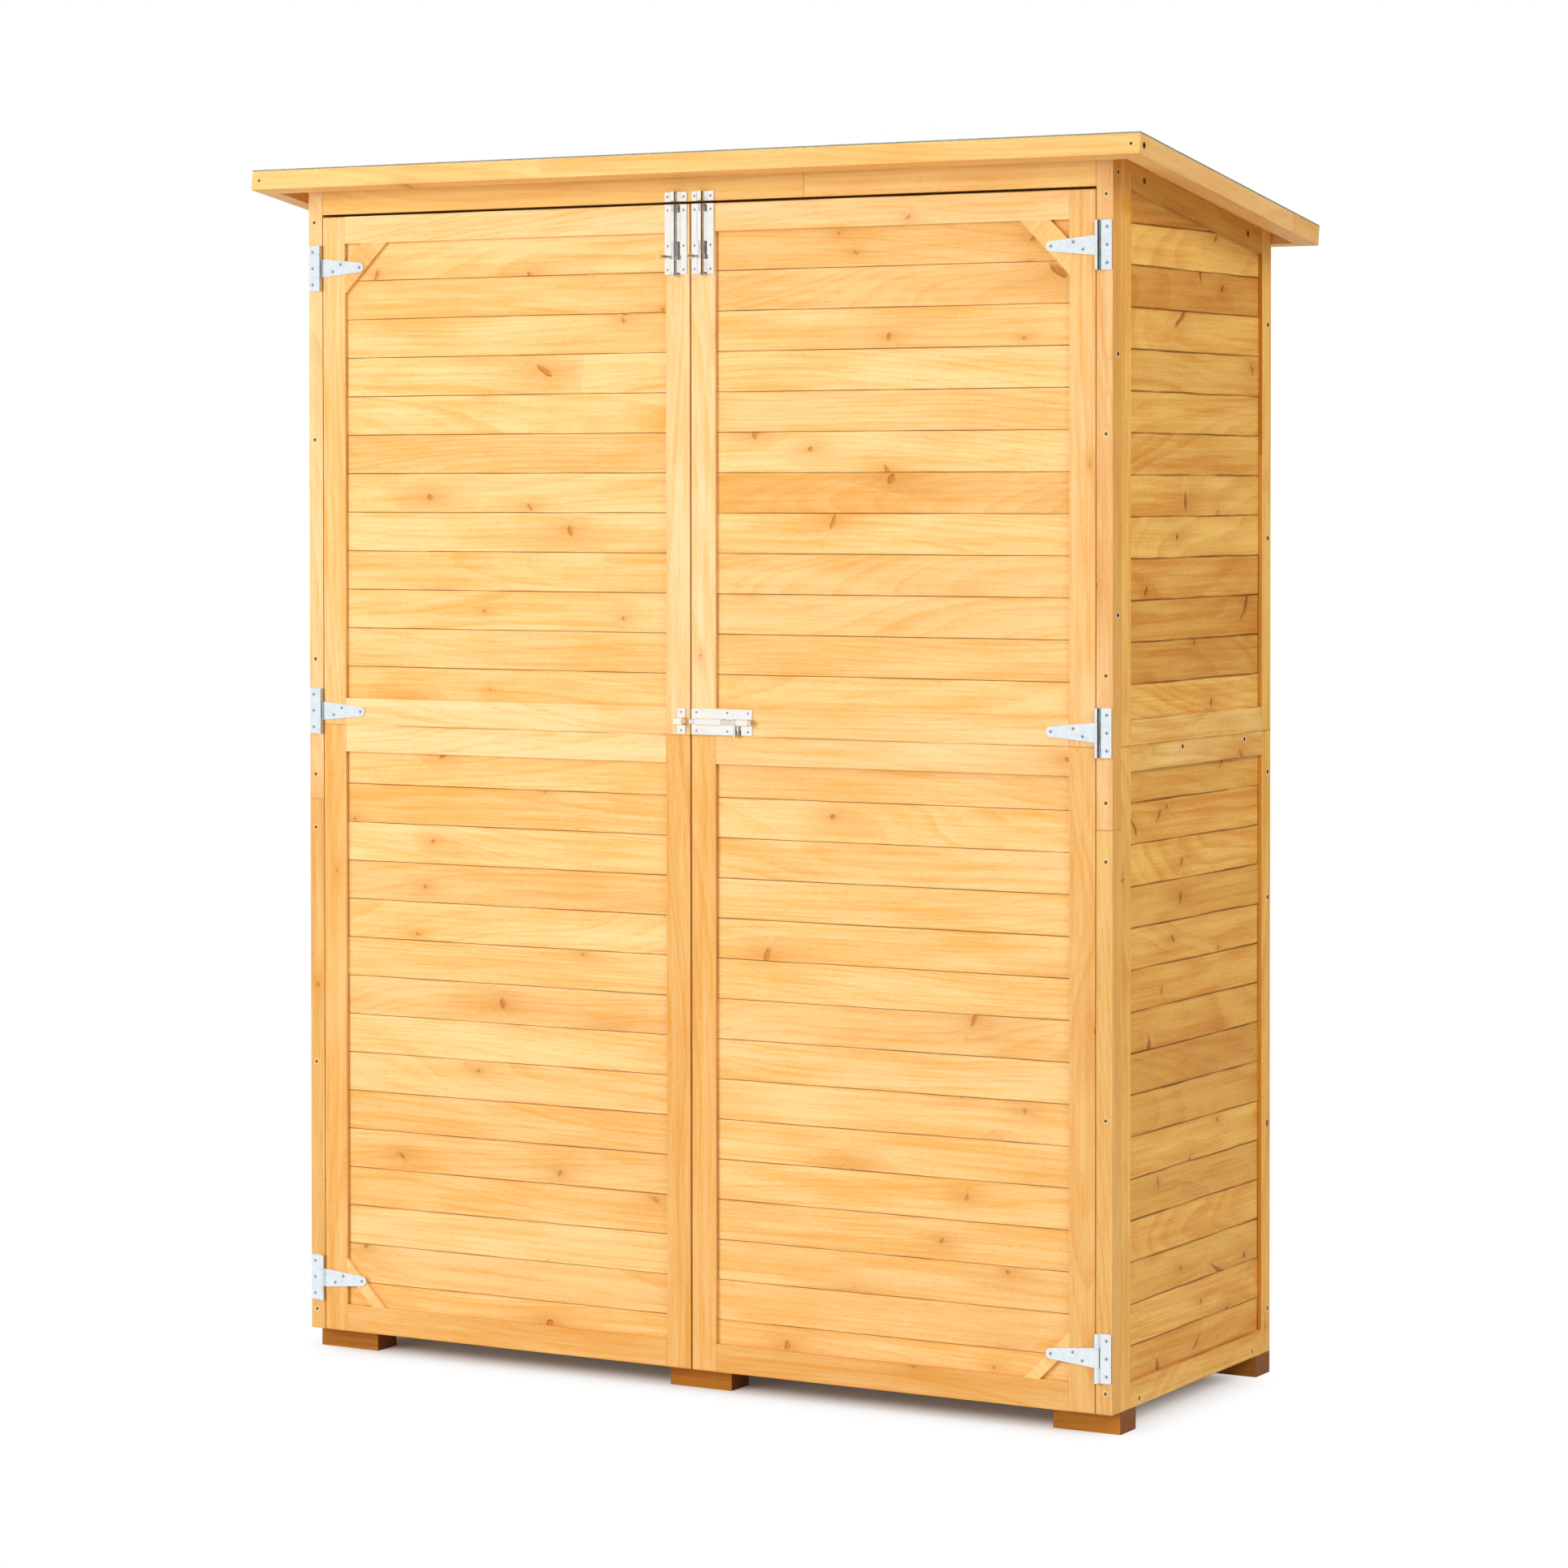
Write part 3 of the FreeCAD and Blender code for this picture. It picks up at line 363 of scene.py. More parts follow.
def boarding(grain, rows, low, high, count):
    """That many boards of one width, which fill the box between two corners."""
    pitch = (high[rows] - low[rows] + BOARD_PLAY) / count
    return stack(grain, rows, low[rows] - BOARD_PLAY / 2, pitch, Z)


# Rows of this width tell the front and the rear batten apart; the three between take the same grain.
FRAME_ROW = 0.2
low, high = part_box("floor_frame")
wear("floor_frame", fir("floor_battens", stack(X, Y, low.y, FRAME_ROW, Z), WALL_FIR))
low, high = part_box("floor_boards")
wear("floor_boards", fir("floor_boarding", boarding(Y, X, low, high, 22), WALL_FIR))

# Side walls. Each wall is two framed panels, one over the other, with slats let into grooves in the
# battens. The top rail of the upper panel is sawn to the fall of the roof and is painted darkest, as
# painted shade under the roof's overhang; the two rails that meet halfway up are paler than the rest.
ROOF_FALL = math.tan(math.radians(8.8))
SLAT_PITCH = 0.0518
SLAT_PLAY = 0.0005
TENON = 0.0085  # slats and door rails reach this far into the grooves of the stiles
WALL_STILE = 0.028
WALL_RAIL = 0.032
PALE_WALL_FIR = ((1.0, 0.710, 0.250), (0.80, 0.380, 0.065))
# Painted shade under the roof's overhang, for the upper panel's top rail.
EAVES_SHADE_FIR = ((0.82, 0.470, 0.095), (0.64, 0.240, 0.023))


def batten_ring(across, into, low, high, fall=0.0):
    """Two upright stiles and two rails between them. A point is on a stile where it lies further from
    the panel's middle line than the stiles' inner edges; otherwise it is on the nearer rail. The upper
    rail may fall by a slope along across. Rails are boards 0 and 1, stiles 4 and 6.
    """

    def layout(pen, place):
        middle = (low[across] + high[across]) / 2
        half = (high[across] - low[across]) / 2
        offset = pen.less(place[across], middle)
        stile = pen.math("GREATER_THAN", pen.math("ABSOLUTE", offset), half - WALL_STILE)
        upper = pen.math("GREATER_THAN", place[Z], (low.z + high.z) / 2)
        height = pen.line(pen.product(offset, fall), upper, place[Z])
        top = high.z - fall * half - WALL_RAIL / 2
        rail_middle = pen.line(upper, top - low.z - WALL_RAIL / 2, low.z + WALL_RAIL / 2)
        stile_side = pen.less(pen.math("ABSOLUTE", offset), half - WALL_STILE / 2)
        rail_side = pen.less(height, rail_middle)
        rail_end = inside(pen, place[across], (middle - half + WALL_STILE, middle + half - WALL_STILE))
        stile_end = inside(pen, place[Z], (low.z, high.z))

        def choose(on_rail, on_stile):
            return pen.add("Mix", {0: stile, 2: on_rail, 3: on_stile}, data_type="FLOAT")

        which = choose(upper, pen.sum(pen.math("SIGN", offset), 5.0))
        to_side = choose(pen.less(WALL_RAIL / 2, pen.math("ABSOLUTE", rail_side)), ALONE)
        to_end = choose(rail_end, stile_end)
        along = choose(place[across], place[Z])
        return along, choose(rail_side, stile_side), place[into], which, to_side, to_end

    return layout


def slat_rows(grain, into, low, high, start=None):
    """Level slats one over another, let into a stile at each end. The lowest starts at the foot of the
    box between two corners, unless start says otherwise.
    """
    if start is None:
        start = low.z - SLAT_PLAY / 2
    return stack(grain, Z, start, SLAT_PITCH, into, (low[grain] + TENON, high[grain] - TENON))


for side in ("left", "right"):
    for level, fall in (("lower", 0.0), ("upper", ROOF_FALL)):
        low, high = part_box(f"side_{side}_{level}_frame")
        # Board 1 of an upper panel, its top rail, takes the painted shade under the roof's overhang.
        picked = ((0, PALE_WALL_FIR), (1, EAVES_SHADE_FIR)) if level == "upper" else ((1, PALE_WALL_FIR),)
        layout = batten_ring(Y, X, low, high, fall)
        battens = fir(f"wall_battens_{side}_{level}", layout, WALL_FIR, 0.2, picked=picked)
        wear(f"side_{side}_{level}_frame", battens)
        low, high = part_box(f"side_{side}_{level}_slats")
        layout = slat_rows(Y, X, low, high)
        slats = fir(f"wall_slats_{side}_{level}", layout, WALL_FIR, 0.75, 0.22, 1.0)
        wear(f"side_{side}_{level}_slats", slats)

# Rear wall. The same two framed panels, wider, stand between the side walls.
for level in ("lower", "upper"):
    low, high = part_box(f"rear_{level}_frame")
    layout = batten_ring(X, Y, low, high)
    wear(f"rear_{level}_frame", fir(f"rear_battens_{level}", layout, WALL_FIR, 0.2))
    low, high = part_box(f"rear_{level}_slats")
    layout = slat_rows(X, Y, low, high)
    wear(f"rear_{level}_slats", fir(f"rear_slats_{level}", layout, WALL_FIR, 0.6, 0.22, 1.0))

# Front posts. Strips of the same fir, screwed over the front edges of the side walls; each side is
# two lengths that butt a little above the middle of the doors. Their side faces are painted a deeper
# gold, as painted shade on faces turned from the light.
POST_FIR = ((0.86, 0.590, 0.285), (0.74, 0.370, 0.118))
LOWER_POST_FIR = ((0.80, 0.510, 0.180), (0.67, 0.318, 0.073))
# Painted shade on the posts' side faces, turned from the light.
POST_SHADED_SIDE_FIR = ((0.87, 0.525, 0.150), (0.74, 0.325, 0.060))


def single(grain, across, low, high, joint=None):
    """One board that fills the box between two corners. Both its ends are sawn across; or else it is
    glazed all round and meets another board at the joint.
    """

    def layout(pen, place):
        offset = pen.less(place[across], (low[across] + high[across]) / 2)
        to_side, to_end = ALONE, ALONE
        if joint is None:
            to_end = inside(pen, place[grain], (low[grain], high[grain]))
        else:
            to_side = pen.math("ABSOLUTE", pen.less(place[grain], joint))
        return place[grain], offset, place[Y], 0.0, to_side, to_end

    return layout


def post_strip(low, high):
    """A post's one board, which counts as board 1 on its side faces, painted in shade, and as board 0
    elsewhere.
    """

    def layout(pen, place):
        turned = pen.split(pen.add("TexCoord", out="Normal"))[X]
        side = pen.math("GREATER_THAN", pen.math("ABSOLUTE", turned), 0.5)
        along, across, into, _, to_side, to_end = single(Z, X, low, high)(pen, place)
        return along, across, into, side, to_side, to_end

    return layout


for side in ("left", "right"):
    for level, shades in (("lower", LOWER_POST_FIR), ("upper", POST_FIR)):
        node = f"post_{side}_{level}"
        low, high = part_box(node)
        wear(node, fir(node, post_strip(low, high), shades, 0.3, 0.04, picked=((1, POST_SHADED_SIDE_FIR),)))

# Header. Two boards meet end to end over the doors; the right one is a little paler.
HEADER_FIR = ((0.92, 0.600, 0.215), (0.81, 0.430, 0.106))
PALE_HEADER_FIR = ((0.94, 0.640, 0.245), (0.82, 0.425, 0.108))
for side, shades in (("left", HEADER_FIR), ("right", PALE_HEADER_FIR)):
    low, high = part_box(f"header_{side}")
    wear(f"header_{side}", fir(f"header_{side}", single(X, Z, low, high), shades, 0.1))

# Shelf. Five long boards over the rear half, on two strips screwed to the walls.
BEARER = 0.022  # how wide a strip is


def pair(grain, across, middle, reach, into, ends, outer=ALONE):
    """Two battens at the same distance, reach, either side of a middle line, between the same ends;
    they are boards -1 and 1. Outer is half the width of a batten with a neighbour on its outer side.
    """

    def layout(pen, place):
        offset = pen.less(place[across], middle)
        own = pen.less(pen.math("ABSOLUTE", offset), reach)
        to_end = inside(pen, place[grain], ends)
        return place[grain], own, place[into], pen.math("SIGN", offset), pen.less(outer, own), to_end

    return layout


low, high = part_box("shelf_boards")
wear("shelf_boards", fir("shelf_boarding", boarding(X, Y, low, high, 5), WALL_FIR, 0.3))
low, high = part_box("shelf_bearers")
layout = pair(Y, X, 0.0, high.x - BEARER / 2, Z, (low.y, high.y))
wear("shelf_bearers", fir("shelf_strips", layout, WALL_FIR, 0.1))

# Roof. Deck boards run down the slope over two battens, and a deeper batten frames them all round,
# its front in two lengths and each side with a short piece let in at the rear.
EDGE_FIR = ((0.93, 0.595, 0.235), (0.83, 0.425, 0.120))
EDGE_DEEP = 0.027
SHORT_PIECE = 0.084
# One batten lies before the middle and one behind it, so rows a metre wide tell them apart.
wear("roof_purlins", fir("roof_battens", stack(X, Y, -1.0, 1.0, Z), WALL_FIR, 0.2))
low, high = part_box("roof_deck_boards")
wear("roof_deck_boards", fir("deck_boarding", boarding(Y, X, low, high, 24), WALL_FIR))


def roof_edge(joint_y, crown):
    """Side batten of the roof: its grain follows the slope, and behind the joint it is another board.
    Crown is how high its top edge would be at the middle of the cabinet.
    """

    def layout(pen, place):
        level = pen.line(place[Y], ROOF_FALL, place[Z])
        across = pen.less(level, crown - EDGE_DEEP / 2)
        behind = pen.less(place[Y], joint_y)
        which = pen.math("GREATER_THAN", behind, 0.0)
        return place[Y], across, place[X], which, pen.math("ABSOLUTE", behind), ALONE

    return layout


for side in ("left", "right"):
    node = f"fascia_front_{side}"
    low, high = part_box(node)
    layout = single(X, Z, low, high, joint=high.x if side == "left" else low.x)
    wear(node, fir(f"roof_edge_front_{side}", layout, EDGE_FIR, 0.15, tone=0.02))
    node = f"fascia_{side}"
    low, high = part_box(node)
    layout = roof_edge(high.y - SHORT_PIECE, high.z + low.y * ROOF_FALL)
    wear(node, fir(f"roof_edge_{side}", layout, EDGE_FIR, 0.15))
low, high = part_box("fascia_rear")
wear("fascia_rear", fir("roof_edge_rear", single(X, Z, low, high), EDGE_FIR, 0.15))

# Roofing felt. Bitumen felt tacked over the deck, with crushed green slate pressed into its face,
# so the colour is a speckle of grains over a dark ground.
DARK_SLATE = (0.15, 0.17, 0.12)
PALE_SLATE = (0.42, 0.45, 0.34)
WORN_SLATE = (0.27, 0.28, 0.22)
felt, pen, shader = new_finish("slate_felt")
place = pen.add("TexCoord", out="Object")
grain = pen.add("TexVoronoi", {"Vector": place, "Scale": 700.0}).node.outputs
patch = pen.noise(place, (5, 5, 5), 4.0)
slate = pen.blend(pen.split(grain["Color"])[0], colour(DARK_SLATE), colour(PALE_SLATE))
slate = pen.blend(pen.rise(patch, 0.35, 0.75), slate, colour(WORN_SLATE))
height = {"Strength": 0.6, "Distance": 0.0006, "Height": pen.less(1.0, grain["Distance"])}
pen.feed(shader["Base Color"], slate)
pen.feed(shader["Normal"], pen.add("Bump", height))
shader["Roughness"].default_value = 0.93
shader["Specular IOR Level"].default_value = 0.25
wear("roof_felt", felt)

# Doors. Each is an upper and a lower panel of the same make as the walls, in picked wood, with a strip
# across each corner on the hinge side to keep it square. Their shades are paler and less golden than
# the walls': painted light, for faces turned to the light. The lower panels' battens were glazed a
# shade deeper.
STILE = 0.035
RAIL = 0.036
ROWS_DOWN = 20  # a lower panel's slats are counted from this many rows below its top
# Paler than the walls' shades: painted light, for doors that face the light.
FRONT_FIR = ((0.93, 0.640, 0.290), (0.83, 0.410, 0.090))
RAIL_FIR = ((0.91, 0.655, 0.330), (0.84, 0.450, 0.122))
MEETING_FIR = ((0.91, 0.670, 0.375), (0.85, 0.470, 0.148))  # the two stiles that meet in the middle
HINGE_STILE_FIR = ((0.89, 0.605, 0.285), (0.79, 0.388, 0.089))
LOWER_FIR = ((0.83, 0.525, 0.205), (0.74, 0.340, 0.065))
for side, meeting in (("left", 1), ("right", -1)):  # meeting is the number of that stile in its pair
    for level, stile_fir, meeting_fir, bottom_fir in (("lower", LOWER_FIR, LOWER_FIR, LOWER_FIR),
                                                      ("upper", HINGE_STILE_FIR, MEETING_FIR, RAIL_FIR)):
        door = f"door_{side}_{level}"
        low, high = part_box(f"{door}_stiles")
        middle, reach = (low.x + high.x) / 2, (high.x - low.x - STILE) / 2
        layout = pair(Z, X, middle, reach, Y, (low.z, high.z))
        picked = ((meeting, meeting_fir),)
        stiles = fir(f"stiles_{side}_{level}", layout, stile_fir, 0.16, 0.05, picked=picked)
        wear(f"{door}_stiles", stiles)
        low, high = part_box(f"{door}_rails")
        middle, reach = (low.z + high.z) / 2, (high.z - low.z - RAIL) / 2
        layout = pair(X, Z, middle, reach, Y, (low.x + TENON, high.x - TENON), RAIL / 2)
        picked = ((-1, bottom_fir),)
        wear(f"{door}_rails", fir(f"rails_{side}_{level}", layout, RAIL_FIR, 0.25, 0.03, picked=picked))
        low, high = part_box(f"{door}_slats")
        start = None if level == "upper" else high.z + SLAT_PLAY / 2 - ROWS_DOWN * SLAT_PITCH
        layout = slat_rows(X, Y, low, high, start)
        wear(f"{door}_slats", fir(f"slats_{side}_{level}", layout, FRONT_FIR, 0.31, 0.08))

MID_HEIGHT = 0.8  # between the upper and the lower strips


def corner_strip(way):
    """Strips at 45 degrees: the upper one falls towards the hinges, and the lower one rises to them.
    Along and across are the difference and the sum of x and the leaning height, times the root of a
    half, so that the grain crosses the strip.
    """

    def layout(pen, place):
        upper = pen.math("GREATER_THAN", place[Z], MID_HEIGHT)
        leaning = pen.product(place[Z], pen.line(upper, -2.0 * way, float(way)))
        along = pen.product(pen.less(place[X], leaning), math.sqrt(0.5))
        across = pen.product(pen.sum(place[X], leaning), math.sqrt(0.5))
        return along, across, place[Y], upper, ALONE, ALONE

    return layout


for side, way in (("left", -1), ("right", 1)):
    wear(f"door_{side}_corner_strips", fir(f"corner_strips_{side}", corner_strip(way), FRONT_FIR, 0.0))


# Hinges. T-hinges pressed and rolled from sheet steel, plated with bright zinc that scatters light
# in faint flowers; the straps are screwed to the doors and the leaves to the posts.
def plated(name, base, tint, rough, uneven, flowers):
    """A plated metal: its gloss drifts with noise, and its colour leans to the tint in patches. Where
    a mesh says how deep it is cut, as the screws do, the metal is painted darker, to a quarter of the
    tint, as painted shade in the cut.
    """
    made, pen, shader = new_finish(name)
    place = pen.add("TexCoord", out="Object")
    flower = pen.split(pen.add("TexVoronoi", {"Vector": place, "Scale": flowers}).node.outputs["Color"])[0]
    drift = pen.noise(place, (70, 70, 70), 3.0)
    rubbed = pen.noise(place, (900, 900, 90), 2.0)
    bright = pen.blend(pen.product(flower, pen.rise(drift, 0.3, 0.7)), colour(base), colour(tint))
    cut = pen.add("Attribute", out="Fac", attribute_name="slot_shade")
    marks = {"Strength": 0.25, "Distance": 0.0001, "Height": rubbed}
    # Painted shade in the cross of a screw head.
    pen.feed(shader["Base Color"], pen.blend(cut, bright, colour(0.25 * part for part in tint)))
    pen.feed(shader["Roughness"], pen.sum(pen.swing(drift, 2 * uneven), pen.swing(rubbed, uneven), rough))
    pen.feed(shader["Normal"], pen.add("Bump", marks))
    shader["Metallic"].default_value = 1.0
    return made


bright_zinc = plated("bright_zinc", (0.86, 0.91, 0.94), (0.74, 0.82, 0.88), 0.24, 0.08, 240.0)
for node in ("hinge_leaves", "hinge_straps_left", "hinge_straps_right"):
    wear(node, bright_zinc)

# Bolts. Barrel bolts of nickel-plated steel: plates pressed with two arches each, rods and knobs
# turned from bar and polished, and small pressed keepers.
nickel_sheet = plated("nickel_sheet", (0.96, 0.94, 0.90), (0.90, 0.88, 0.85), 0.12, 0.04, 60.0)
nickel_bar = plated("nickel_bar", (0.80, 0.79, 0.77), (0.62, 0.61, 0.60), 0.10, 0.06, 60.0)
for name in ("left", "right", "middle"):
    wear(f"bolt_plate_{name}", nickel_sheet)
    wear(f"bolt_rod_{name}", nickel_bar)
    wear(f"bolt_knob_{name}", nickel_bar)
for node in ("keepers_header", "keeper_left_door"):
    wear(node, nickel_sheet)

# Wood screws. Countersunk cross-head screws, yellow-plated, driven until the rim is flush. The raw
# fir shows as a pale ring round the head. Round three screws in each side wall and the two in the
# roof's side edges the ring is dark instead: painted shade in the hole. The two in the roof's side
# edges are flush all over.
SPOKES = 24
# All in head radii: where the rings of points lie, how far the floor of the cross and the rim of the
# hole stand over the wood, and how far a head and a rim turn down into it at their edges.
HEAD_RINGS = np.array([0.004, 0.10, 0.19, 0.28, 0.42, 0.56, 0.68, 0.86, 1.0, 1.0])
RIM_RINGS = np.array([0.98, 1.02, 1.40, 1.46])
SEAT = 0.012
HEAD_SKIRT = -0.3
RIM_SKIRT = -0.05
DOME = 0.18
FLUSH = 0.014
# The cross: half the width and half the length of a bar, and how much of each is a sloping wall.
BAR_HALF = 0.22
BAR_WALL = 0.06
BAR_REACH = 0.74
BAR_END = 0.20


def ring_points(rings):
    """Rings of those radii as points: u is the radius times the cosine of the angle, v times the sine."""
    theta = np.arange(SPOKES) * math.tau / SPOKES
    return rings[:, None] * np.cos(theta), rings[:, None] * np.sin(theta)


def slot(across, along):
    """One bar of the cross, 1 on its floor and 0 outside: the product of a ramp across and one along."""
    wide = np.clip((BAR_HALF - np.abs(across)) / BAR_WALL, 0, 1)
    return wide * np.clip((BAR_REACH - np.abs(along)) / BAR_END, 0, 1)


def screw_head(dome):
    """A countersunk head seen from the front, as places and heights in head radii: a low dome, dome
    times one less the radius squared, with a cross of two bars cut nearly down to the surface. The last
    ring turns down into the surface. The fourth array says how deep each point is cut, from 0 to 1.
    """
    u, v = ring_points(HEAD_RINGS)
    cut = np.maximum(slot(v, u), slot(u, v))
    height = dome * (1 - u**2 - v**2) * (1 - cut) + SEAT * cut
    height[-1] = HEAD_SKIRT
    return u, v, height, cut


def bored_rim():
    """The rim of the hole: a flat ring about the head that stands a hair over the surface and turns
    down at both its edges.
    """
    u, v = ring_points(RIM_RINGS)
    height = np.full(u.shape, SEAT)
    height[[0, -1]] = RIM_SKIRT
    return u, v, height, np.zeros(u.shape)


def set_round(name, shape, spots, radius, finish, body):
    """Copies one round shape to every spot, as one mesh. A spot is a centre, an outward direction and
    a turn; the shape's own axes lie across the surface, turned by that much. One more face closes the
    innermost ring.
    """
    u, v, height, cut = shape
    centres = np.array([spot[0] for spot in spots])
    outward = np.array([spot[1] for spot in spots], float)
    outward /= np.linalg.norm(outward, axis=1)[:, None]
    turn = np.array([spot[2] for spot in spots])[:, None]
    level = np.cross((0.0, 0.0, 1.0), outward)
    level /= np.linalg.norm(level, axis=1)[:, None]
    steep = np.cross(outward, level)
    first = np.cos(turn) * level + np.sin(turn) * steep
    second = np.cos(turn) * steep - np.sin(turn) * level
    points = radius * (u[..., None] * first[:, None, None] + v[..., None] * second[:, None, None]
                       + height[..., None] * outward[:, None, None]) + centres[:, None, None]
    rows, columns = u.shape
    ring, spoke = np.meshgrid(np.arange(rows - 1), np.arange(columns), indexing="ij")
    after = (spoke + 1) % columns
    corners = (ring * columns + spoke, (ring + 1) * columns + spoke,
               (ring + 1) * columns + after, ring * columns + after)
    faces = np.stack(corners, -1).reshape(-1, 4)
    first_points = np.arange(len(spots)) * rows * columns
    faces = (faces[None] + first_points[:, None, None]).reshape(-1, 4).tolist()
    faces += (np.arange(columns) + first_points[:, None]).tolist()
    mesh = bpy.data.meshes.new(name)
    mesh.from_pydata(points.reshape(-1, 3).tolist(), [], faces)
    mesh.materials.append(finish)
    mesh.polygons.foreach_set("use_smooth", np.ones(len(faces), bool))
    slot_shade = mesh.attributes.new("slot_shade", "FLOAT", "POINT")
    slot_shade.data.foreach_set("value", np.tile(cut.ravel(), len(spots)).astype(np.float32))
    made = bpy.data.objects.new(name, mesh)
    bpy.context.scene.collection.objects.link(made)
    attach(made, body)
    return made


luck = np.random.default_rng(11)


def driven(places):
    """Screws at these places and directions, each stopped at its own turn."""
    return [(centre, way, luck.uniform(0, math.pi / 2)) for centre, way in places]


yellow_zinc = plated("yellow_zinc", (0.50, 0.34, 0.13), (0.28, 0.17, 0.06), 0.32, 0.14, 500.0)
white_zinc = plated("white_zinc", (0.74, 0.78, 0.82), (0.62, 0.66, 0.72), 0.28, 0.14, 500.0)
POST_REACH = 0.591  # the posts' screws, from the middle of the cabinet
POST_HEIGHTS = (1.525, 1.232, 0.936, 0.780, 0.708, 0.390, 0.054)
# In the side walls: how far behind the doors' face, and how high.
WALL_PLACES = ((0.2056, 0.8396), (0.3982, 0.8395), (0.0787, 0.036),
               (0.4258, 0.036), (0.473, 0.793), (0.474, 0.628), (0.475, 0.085),
               (0.473, 1.10), (0.473, 1.38), (0.0155, 1.552), (0.0155, 1.330), (0.0155, 1.010))
# Screws whose rims are painted shade in the hole.
SHADED_HOLES = ((0.0906, 1.5455), (0.4071, 1.496), (0.473, 0.330))
EDGE_INSET = 0.012  # the roof edge's screws, from its front corner
EDGE_DROP = 0.0125  # the same screws, from its upper edge
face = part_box("post_right_lower")[0].y
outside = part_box("side_right_lower_frame")[1].x
front_places, wall_places, shaded_holes, roof_places = [], [], [], []
for way in (-1, 1):
    front_places += [((way * POST_REACH, face, height), (0, -1, 0)) for height in POST_HEIGHTS]
    wall_places += [((way * outside, face + back, height), (way, 0, 0)) for back, height in WALL_PLACES]
    shaded_holes += [((way * outside, face + back, height), (way, 0, 0)) for back, height in SHADED_HOLES]
low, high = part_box("fascia_front_right")
roof_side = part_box("fascia_right")[1].x
edge_y = low.y + EDGE_DROP * math.sin(math.atan(ROOF_FALL))
edge_z = high.z - EDGE_DROP
for way in (-1, 1):
    front_places.append(((way * (roof_side - EDGE_INSET), edge_y, edge_z), (0, -1, ROOF_FALL)))
    roof_places.append(((way * roof_side, edge_y + EDGE_INSET, edge_z - 0.002), (way, 0, 0)))
upright = stack(Z, X, 0.0, 10.0, Y)  # one board for all the rims on each side of the cabinet
raw_fir = fir("raw_rim", upright, ((0.95, 0.74, 0.42), (0.86, 0.56, 0.24)), 0.0)
# The dark rims are painted shade in a hole.
hole_shade_fir = fir("bored_rim", upright, ((0.22, 0.085, 0.014), (0.10, 0.034, 0.006)), 0.0)
for name, places, radius, dome, rim in (("post", front_places, 0.0026, DOME, raw_fir),
                                        ("wall", wall_places, 0.0032, DOME, raw_fir),
                                        ("wide", shaded_holes, 0.0030, DOME, hole_shade_fir),
                                        ("roof", roof_places, 0.0030, FLUSH, hole_shade_fir)):
    spots = driven(places)
    heads = set_round(f"{name}_screws", screw_head(dome), spots, radius, yellow_zinc, "carcass")
    rims = set_round(f"{name}_screw_rims", bored_rim(), spots, radius, rim, "carcass")

# Hinge screws. The same heads in white plating, three in a row down each leaf and three in a triangle
# on each strap.
HINGE_SCREW = 0.0027  # a head's radius
HINGE_HEIGHTS = (0.0975, 0.866, 1.463)
HINGE_AXIS = 0.5805
HINGE_SHEET = 0.0015
LEAF_REACH = 0.0125  # the leaf's screws, from the hinge's axis
STRAP_PLACES = ((0.0640, 0.0), (0.0335, 0.0045), (0.0205, -0.0050))
for side, way in (("left", -1), ("right", 1)):
    front = face - HINGE_SHEET
    leaf, strap = [], []
    for height in HINGE_HEIGHTS:
        for rise in (-0.022, 0.0, 0.022):
            leaf.append(((way * (HINGE_AXIS + LEAF_REACH), front, height + rise), (0, -1, 0)))
        for reach, rise in STRAP_PLACES:
            strap.append(((way * (HINGE_AXIS - reach), front, height + rise), (0, -1, 0)))
    for name, places, body in (("leaf", leaf, "carcass"), ("strap", strap, f"door_{side}")):
        name = f"hinge_{name}_screws_{side}"
        heads = set_round(name, screw_head(DOME), driven(places), HINGE_SCREW, white_zinc, body)

# Bolt screws. Small ones of the same kind along both edges of each plate, and two in each keeper.
BOLT_SCREW = 0.0019
BOLT_SHEET = 0.0012
PLATE_EDGE = 0.0045  # the screws, from a plate's long edges
HEADER_KEEPER_Z = 1.5412
DOOR_KEEPER_X = -0.014
front = face - BOLT_SHEET
bolt_places = {"door_left": [], "door_right": [], "carcass": []}
for name, body in (("left", "door_left"), ("right", "door_right")):
    low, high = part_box(f"bolt_plate_{name}")
    for x in (low.x + PLATE_EDGE, high.x - PLATE_EDGE):
        for z in (low.z + 0.006, low.z + 0.0365, high.z - 0.0075):
            bolt_places[body].append(((x, front, z), (0, -1, 0)))
        bolt_places["carcass"].append(((x, front, HEADER_KEEPER_Z), (0, -1, 0)))
low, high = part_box("bolt_plate_middle")
for z in (low.z + PLATE_EDGE, high.z - PLATE_EDGE):
    for x in (low.x + 0.0075, high.x - 0.0365, high.x - 0.006):
        bolt_places["door_right"].append(((x, front, z), (0, -1, 0)))
    bolt_places["door_left"].append(((DOOR_KEEPER_X, front, z), (0, -1, 0)))
for body, places in bolt_places.items():
    name = f"bolt_screws_{body}"
    heads = set_round(name, screw_head(DOME), driven(places), BOLT_SCREW, white_zinc, body)

# Studio. A white sheet underfoot and a white surround, a large soft light on the left of the doors, a
# weaker one high on the right, and a dark curtain round the right that only the bright metal mirrors.
# The sheet takes the object's shadow close to the feet and is plain white further out.
SHEET = 40.0
SHADOW_X = 0.52
SHADOW_Y = 0.15
SHADOW_FADE = 0.13
WHITE = (1.0, 1.0, 1.0)


def seen_directly(pen):
    """1 for rays that come from the camera, from bright metal or through glass, and 0 for the rest."""
    path = pen.add("LightPath").node.outputs
    direct = pen.math("MAXIMUM", path["Is Camera Ray"], path["Is Glossy Ray"])
    return pen.math("MAXIMUM", direct, path["Is Transmission Ray"])


